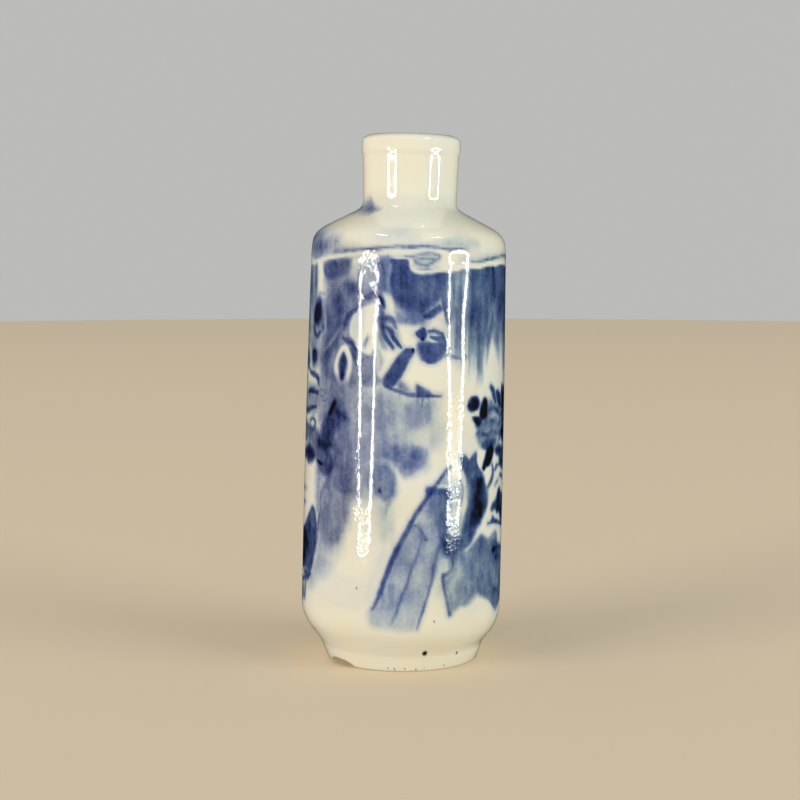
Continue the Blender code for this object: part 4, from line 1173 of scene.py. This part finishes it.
def lay_out(mesh, shape):
    """The bake's UV map: the outside unrolled over most of the square, the rest in two strips."""
    layer = mesh.uv_layers.new(name="OFBake")
    corners = np.empty(len(mesh.loops), np.int32)
    mesh.loops.foreach_get("vertex_index", corners)
    sides = np.array([len(face) for face in shape["faces"]])
    face_of = np.repeat(np.arange(len(sides)), sides)
    zone = shape["zones"][face_of]
    across = shape["across"][corners]
    first_corner = np.append(0, np.cumsum(sides))[:-1]
    highest = np.maximum.reduceat(across, first_corner)[face_of]
    across = across + ROUND_MM * (highest - across > ROUND_MM / 2)
    along = shape["along"][corners]
    u = (across - shape["across"].min()) / ROUND_MM
    v = np.zeros(len(corners))
    for index, (low, high) in enumerate(UV_STRIPS):
        here = zone == index
        span = along[here].max() - along[here].min()
        v[here] = low + (high - low) * (along[here] - along[here].min()) / span
    layer.data.foreach_set("uv", np.column_stack([u, v]).astype(np.float32).ravel())


def per_vertex(mesh, name, values):
    """Keeps a number for each vertex, for the material to read."""
    attribute = mesh.attributes.new(name, "FLOAT", "POINT")
    attribute.data.foreach_set("value", values.astype(np.float32))


# ---- The glaze ----

# What shows through the glaze by how much cobalt lies there, from bare white to burnt black.
GLAZE_WHITE = (238, 238, 228)
GLAZE_WARM_WHITE = (240, 236, 217)
COBALT_STOPS = (
    (0.0, (238, 238, 228)),
    (0.15, (209, 217, 221)),
    (0.3, (181, 195, 212)),
    (0.5, (141, 157, 192)),
    (0.75, (105, 123, 171)),
    (1.05, (75, 93, 150)),
    (1.4, (52, 69, 127)),
    (1.8, (31, 43, 90)),
    (2.3, (22, 26, 52)),
    (2.8, (20, 21, 22)),
)
MOST_COBALT = 3.0
# Painted light: tints for the blue, greener at the right and far left, greyer and warmer where the warm left
# lamp falls.
GREENER = (0.98, 1.07, 0.86, 1.0)
GREYER = (1.13, 1.0, 0.87, 1.0)
CLAY_DARK = (0.5, 0.44, 0.33, 1.0)
CLAY_PALE = (0.68, 0.63, 0.52, 1.0)
IRON_BLACK = (0.012, 0.010, 0.009, 1.0)
BUMP_HEIGHT = 0.0042


def linear(colour):
    """A colour of 0 to 255 as a screen shows it, in the renderer's own linear scale."""
    share = np.array(colour, float) / 255
    return np.where(share <= 0.04045, share / 12.92, ((share + 0.055) / 1.055) ** 2.4)


class Nodes:
    """A material's node tree, with short ways to make the nodes that this one uses."""

    def __init__(self, material):
        material.use_nodes = True
        self.tree = material.node_tree
        self.shader = self.tree.nodes["Principled BSDF"]

    def new(self, kind, **sockets):
        node = self.tree.nodes.new(kind)
        for name, value in sockets.items():
            self.set(node.inputs[name.replace("_", " ")], value)
        return node

    def set(self, socket, value):
        """Links an output to the socket, or gives the socket a plain value."""
        if isinstance(value, bpy.types.NodeSocket):
            self.tree.links.new(value, socket)
        else:
            socket.default_value = value

    def attribute(self, name):
        node = self.tree.nodes.new("ShaderNodeAttribute")
        node.attribute_name = name
        return node.outputs["Fac"]

    def math(self, operation, first, second=0.0, third=0.0):
        node = self.tree.nodes.new("ShaderNodeMath")
        node.operation = operation
        for socket, value in zip(node.inputs, (first, second, third)):
            self.set(socket, value)
        return node.outputs["Value"]

    def noise(self, places, per_mm, detail=2.0, stretch=(1.0, 1.0, 1.0)):
        """Noise from 0 to 1, so many cells to a millimetre, stretched along the axes."""
        scale = [share * per_mm / MM for share in stretch]
        mapping = self.new("ShaderNodeMapping", Vector=places, Scale=scale)
        node = self.new("ShaderNodeTexNoise", Vector=mapping.outputs["Vector"], Scale=1.0, Detail=detail)
        return node.outputs["Fac"]

    def blend(self, kind, factor, first, second):
        node = self.tree.nodes.new("ShaderNodeMixRGB")
        node.blend_type = kind
        self.set(node.inputs["Fac"], factor)
        self.set(node.inputs["Color1"], first)
        self.set(node.inputs["Color2"], second)
        return node.outputs["Color"]

    def span(self, value, low, high, to_low=0.0, to_high=1.0):
        """The value moved from one range to another, and held at its ends."""
        node = self.new("ShaderNodeMapRange")
        names = ("Value", "From Min", "From Max", "To Min", "To Max")
        for name, number in zip(names, (value, low, high, to_low, to_high)):
            self.set(node.inputs[name], number)
        return node.outputs["Result"]


def porcelain_material():
    """White porcelain under a faintly green, wavy glaze, over cobalt that pools and streaks."""
    material = bpy.data.materials.new("glazed_porcelain")
    n = Nodes(material)
    places = n.tree.nodes.new("ShaderNodeTexCoord").outputs["Object"]
    white = (*linear(GLAZE_WHITE), 1.0)
    warm_white = (*linear(GLAZE_WARM_WHITE), 1.0)
    glaze = n.blend("MIX", n.span(n.noise(places, 0.09), 0.4, 0.65), white, warm_white)
    grain = n.span(n.noise(places, 2.2, 3.0), 0.3, 0.7, 0.88, 1.12)
    cloud = n.span(n.noise(places, 0.4, 2.0), 0.32, 0.68, 0.84, 1.16)
    streak = n.span(n.noise(places, 1.2, 2.0, (1.0, 1.0, 0.14)), 0.32, 0.68, 0.87, 1.13)
    lift = n.math("MULTIPLY", n.math("MULTIPLY", grain, cloud), streak)
    density = n.math("MULTIPLY", n.attribute("cobalt"), lift)
    ramp_node = n.new("ShaderNodeValToRGB", Fac=n.math("DIVIDE", density, MOST_COBALT))
    elements = ramp_node.color_ramp.elements
    for i, (amount, colour) in enumerate(COBALT_STOPS):
        element = elements[i] if i < 2 else elements.new(1.0)
        element.position = amount / MOST_COBALT
        element.color = (*(linear(colour) / linear(GLAZE_WHITE)), 1.0)
    painted = n.blend("MULTIPLY", 1.0, glaze, ramp_node.outputs["Color"])
    shown = n.span(density, 0.1, 0.8)
    # Painted light: the blue is tinted by side, greener at the right and greyer and warmer at the left, with
    # random patches.
    for name, tint in (("greener", GREENER), ("greyer", GREYER)):
        painted = n.blend("MULTIPLY", n.math("MULTIPLY", n.attribute(name), shown), painted, tint)
    clay = n.blend("MIX", n.noise(places, 2.0, 4.0), CLAY_DARK, CLAY_PALE)
    bare = n.attribute("bare")
    colour = n.blend("MIX", bare, painted, clay)
    colour = n.blend("MIX", n.attribute("iron"), colour, IRON_BLACK)
    n.set(n.shader.inputs["Base Color"], colour)
    gloss = n.span(n.noise(places, 0.5), 0.3, 0.7, 0.028, 0.05)
    n.set(n.shader.inputs["Roughness"], n.math("MULTIPLY_ADD", bare, 0.55, gloss))
    heaped = n.span(n.attribute("cobalt"), 0.3, 1.6, 1.0, 6.0)
    peel = n.math("MULTIPLY", n.noise(places, 2.0, 3.0), heaped)
    coarse = n.math("MULTIPLY", n.noise(places, 3.5, 5.0), bare)
    crawled = n.math("MULTIPLY", n.noise(places, 2.4, 0.5), n.attribute("wrinkle"))
    height = n.math("MULTIPLY_ADD", coarse, 12.0, peel)
    height = n.math("MULTIPLY_ADD", crawled, 11.5, height)
    bump = n.new("ShaderNodeBump", Height=height, Strength=1.0, Distance=BUMP_HEIGHT * MM)
    n.set(n.shader.inputs["Normal"], bump.outputs["Normal"])
    return material


# ---- The piece ----


def put_up(name, data):
    """A new object with the data, in the scene."""
    made = bpy.data.objects.new(name, data)
    bpy.context.scene.collection.objects.link(made)
    return made


def porcelain_bottle():
    """The one piece of the look, in place of the CAD solid."""
    shape = bottle_shape()
    mesh = bpy.data.meshes.new("porcelain_bottle")
    mesh.from_pydata(shape["places"] * MM, [], shape["faces"])
    mesh.shade_smooth()
    lay_out(mesh, shape)
    painted = shape["outer"] & (shape["up"] > PAINTED_FROM) & (shape["up"] < PAINTED_TO)
    painting = Painting(shape["across"][painted], shape["up"][painted])
    paint_all(painting)
    cobalt = np.zeros(len(painted))
    cobalt[painted] = painting.cobalt
    per_vertex(mesh, "cobalt", np.clip(cobalt, 0, MOST_COBALT))
    ground = (shape["places"][:, 2] < 0.02) & (shape["up"] < 1.0)
    per_vertex(mesh, "bare", np.maximum(shape["bitten"], BARE_RING * ground))
    greener, greyer = painted_light_hues(shape)
    per_vertex(mesh, "greener", greener)
    per_vertex(mesh, "greyer", greyer)
    per_vertex(mesh, "iron", iron_spots(shape))
    per_vertex(mesh, "wrinkle", wrinkles(shape))
    mesh.materials.append(porcelain_material())
    bottle = put_up("porcelain_bottle", mesh)
    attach(bottle, "root")
    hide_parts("bottle")


def painted_light_hues(shape):
    """How much the blue is tinted by painted light: greener at the right and far left, greyer and warmer at
    the left.
    """
    across, up = shape["across"], shape["up"]
    right = ramp(across, 3.0, 9.0) * ramp(-across, -40.0, -30.0)
    left = ramp(-across, 15.0, 18.5) * ramp(across, -40.0, -30.0)
    patchy = 0.25 * mottle(across, up, 6.0, 5.0, 31)
    greener = np.clip(np.maximum(right, 0.8 * left) + patchy, 0, 1)
    greyer = np.clip(ramp(-across, 1.5, 6.0) * ramp(across, -18.5, -15.0) - patchy, 0, 1)
    return greener, greyer


def iron_spots(shape):
    """Black specks of iron in the glaze, and grit that the foot ring picked up in the kiln."""
    across, up = shape["across"], shape["up"]
    found = np.zeros(len(across))
    for at, height, radius in IRON_SPOTS:
        gap = np.hypot(across - at, up - height)
        found = np.maximum(found, 1 - ramp(gap, radius * 0.6, radius * 1.15))
    return found * shape["outer"]


def wrinkles(shape):
    """How strongly the glaze is wrinkled, which breaks up the highlights there."""
    found = np.zeros(len(shape["up"]))
    for at, height, half_wide, half_high, strength in WRINKLES:
        gap = np.hypot((shape["across"] - at) / half_wide, (shape["up"] - height) / half_high)
        found = np.maximum(found, strength * (1 - ramp(gap, 0.5, 1.2)))
    return found * shape["outer"]


# ---- The studio ----


def stage_material(name, colour, roughness):
    """A matt material of one colour."""
    material = bpy.data.materials.new(name)
    n = Nodes(material)
    n.set(n.shader.inputs["Base Color"], colour)
    n.set(n.shader.inputs["Roughness"], roughness)
    n.set(n.shader.inputs["Specular IOR Level"], 0.0)
    return material


def floor():
    """A plain pale round floor, which ends short of the soft lamps. The glaze doesn't mirror it."""
    turns = [math.tau * i / FLOOR_SIDES for i in range(FLOOR_SIDES)]
    far = FLOOR_RADIUS * MM
    edge = [(far * math.cos(turn), far * math.sin(turn), 0) for turn in turns]
    mesh = bpy.data.meshes.new("floor")
    mesh.from_pydata(edge, [], [tuple(range(len(edge)))])
    mesh.materials.append(stage_material("pale_floor", FLOOR_COLOUR, 0.9))
    made = put_up("floor", mesh)
    made.visible_glossy = False


def directions(azimuth):
    """The level directions out to an azimuth, from the front, and to the right of that."""
    outwards = np.array([math.sin(azimuth), -math.cos(azimuth), 0.0])
    return outwards, np.array([math.cos(azimuth), math.sin(azimuth), 0.0])


def lamp_side(low, high, low_corner, high_corner, bends, steps=6):
    """Points up one side of a lamp with elliptical corners: how far out, as a share, and how high."""
    wide = STRIP_CORNER_SHARE
    turns = [math.pi / 2 * i / steps for i in range(steps + 1)]
    foot = [(1 - wide + wide * math.sin(t), low + low_corner * (1 - math.cos(t))) for t in turns]
    top = [(1 - wide + wide * math.cos(t), high - high_corner * (1 - math.sin(t))) for t in turns]
    return foot + [(1.0, height) for height in bends] + top


def strip_light(name, azimuth, spans, band, low_corner, end_band, end_power):
    """A tall lamp that only the glaze mirrors: a thin bright rim round a dim core.

    The spans give its left and right edges at each height from its foot up, and below the second
    height it glows all over.
    """
    heights, lefts, rights = zip(*spans)
    low, high = heights[0], heights[-1]
    outer = lamp_side(low, high, low_corner, STRIP_TOP_CORNER, heights[1:-1])
    inner = lamp_side(low + end_band, high - STRIP_TOP_BAND, max(low_corner - end_band, 1.0),
                      STRIP_TOP_CORNER - STRIP_TOP_BAND, heights[1:-1])
    towards, sideways = directions(azimuth)
    places = []
    for side, inset in ((outer, 0.0), (inner, band)):
        for sign, points in ((1, side), (-1, side[::-1])):
            for x, z in points:
                left, right = np.interp(z, heights, lefts), np.interp(z, heights, rights)
                offset = (left + right) / 2 + sign * x * ((right - left) / 2 - inset)
                place = towards * STRIP_DISTANCE + sideways * offset + np.array([0, 0, z])
                places.append(tuple(place * MM))
    count = len(places) // 2
    ring = [(i, (i + 1) % count, count + (i + 1) % count, count + i) for i in range(count)]
    split = [z for _, z in outer].index(heights[1])
    core = tuple(range(count + split, 2 * count - split))
    end = (*range(2 * count - 1 - split, 2 * count), *range(count, count + split + 1))
    mesh = bpy.data.meshes.new(name)
    mesh.from_pydata(places, [], [*ring, core, end])
    mesh.materials.append(glow_material(name + "_rim", STRIP_RIM_POWER, STRIP_WHITE))
    mesh.materials.append(glow_material(name + "_core", STRIP_CORE_POWER, STRIP_WHITE))
    mesh.materials.append(glow_material(name + "_end", end_power, STRIP_WARM))
    mesh.polygons[count].material_index = 1
    mesh.polygons[count + 1].material_index = 2
    stage_lamp(name, mesh)


def stage_lamp(name, mesh):
    """Puts up a lamp that only the glaze mirrors."""
    made = put_up(name, mesh)
    made.visible_camera = False
    made.visible_diffuse = False
    made.visible_shadow = False
    made.visible_transmission = False


def glow_material(name, power, colour):
    """A material that only glows."""
    material = bpy.data.materials.new(name)
    n = Nodes(material)
    n.tree.nodes.remove(n.shader)
    glow = n.new("ShaderNodeEmission", Color=colour, Strength=power)
    n.tree.links.new(glow.outputs["Emission"], n.tree.nodes["Material Output"].inputs["Surface"])
    return material


def small_light(name, azimuth, elevation, wide, high):
    """A small oblong lamp, high up, for the sparks on the shoulder."""
    towards, sideways = directions(azimuth)
    rise = np.array([0, 0, 1])
    across = sideways * wide / 2
    upwards = (math.cos(elevation) * rise - math.sin(elevation) * towards) * high / 2
    middle = (math.cos(elevation) * towards + math.sin(elevation) * rise) * STRIP_DISTANCE
    middle = middle + SHOULDER_SPARK_HEIGHT * rise
    signs = ((-1, -1), (1, -1), (1, 1), (-1, 1))
    places = [tuple((middle + a * across + b * upwards) * MM) for a, b in signs]
    mesh = bpy.data.meshes.new(name)
    mesh.from_pydata(places, [], [(0, 1, 2, 3)])
    mesh.materials.append(glow_material(name + "_glow", STRIP_RIM_POWER, STRIP_WHITE))
    stage_lamp(name, mesh)


def soft_light(name, azimuth, elevation, power, colour):
    """A large soft area light aimed at the bottle's middle. The glaze doesn't mirror it."""
    data = bpy.data.lights.new(name, "AREA")
    data.shape = "RECTANGLE"
    data.size = SOFT_WIDTH * MM
    data.size_y = SOFT_HEIGHT * MM
    data.energy = power
    data.color = colour
    made = put_up(name, data)
    flat = SOFT_DISTANCE * math.cos(elevation)
    up = HEIGHT / 2 + SOFT_DISTANCE * math.sin(elevation)
    place = (flat * math.sin(azimuth), -flat * math.cos(azimuth), up)
    made.location = [c * MM for c in place]
    made.rotation_euler = (math.pi / 2 - elevation, 0.0, azimuth)
    made.visible_glossy = False


def studio():
    """The pale room, its floor, and the lamps, whose directions are in degrees from the front."""
    floor()
    world = bpy.data.worlds.new("pale_room")
    bpy.context.scene.world = world
    world.use_nodes = True
    background = world.node_tree.nodes["Background"]
    background.inputs["Color"].default_value = (*ROOM_COLOUR, 1.0)
    background.inputs["Strength"].default_value = ROOM_STRENGTH
    world.cycles_visibility.glossy = False
    left_spans = ((-14.5, -11, 33), (-7.2, -14, 36.5), (78, -42, 47))
    right_spans = ((-14, -36, 17), (20, -42, 28), (44, -47, 25), (53, -48.6, 38.8), (78, -53, 47))
    strip_light("strip_left", math.radians(-46), left_spans, 8.5, 4, 1.5, 6.0)
    strip_light("strip_right", math.radians(60), right_spans, 8.0, 5, 2.8, 3.6)
    small_light("small_left", math.radians(-50), math.radians(62), 34, 16)
    small_light("small_right", math.radians(46), math.radians(53), 34, 12)
    soft_light("soft_left", math.radians(-56), math.radians(9), 45.3, (1.0, 0.92, 0.79))
    soft_light("soft_right", math.radians(62), math.radians(9), 39.0, (0.95, 1.0, 0.93))


def camera():
    """The camera of the photograph, level with the neck and tilted a little down."""
    data = bpy.data.cameras.new("camera")
    data.sensor_width = SENSOR
    data.lens = LENS
    data.clip_start = NEAREST_SEEN * MM
    data.clip_end = FARTHEST_SEEN * MM
    made = put_up("camera", data)
    made.location = [c * MM for c in CAMERA_PLACE]
    made.rotation_euler = (math.pi / 2 - CAMERA_PITCH, 0.0, 0.0)
    bpy.context.scene.camera = made


def clear_scene():
    """Takes away the objects that a new scene starts with."""
    for old in list(bpy.data.objects):
        bpy.data.objects.remove(old)


def corners(box):
    return [list(corner) for corner in box]


clear_scene()
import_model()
porcelain_bottle()
studio()
camera()
bpy.context.scene.view_settings.view_transform = "Standard"
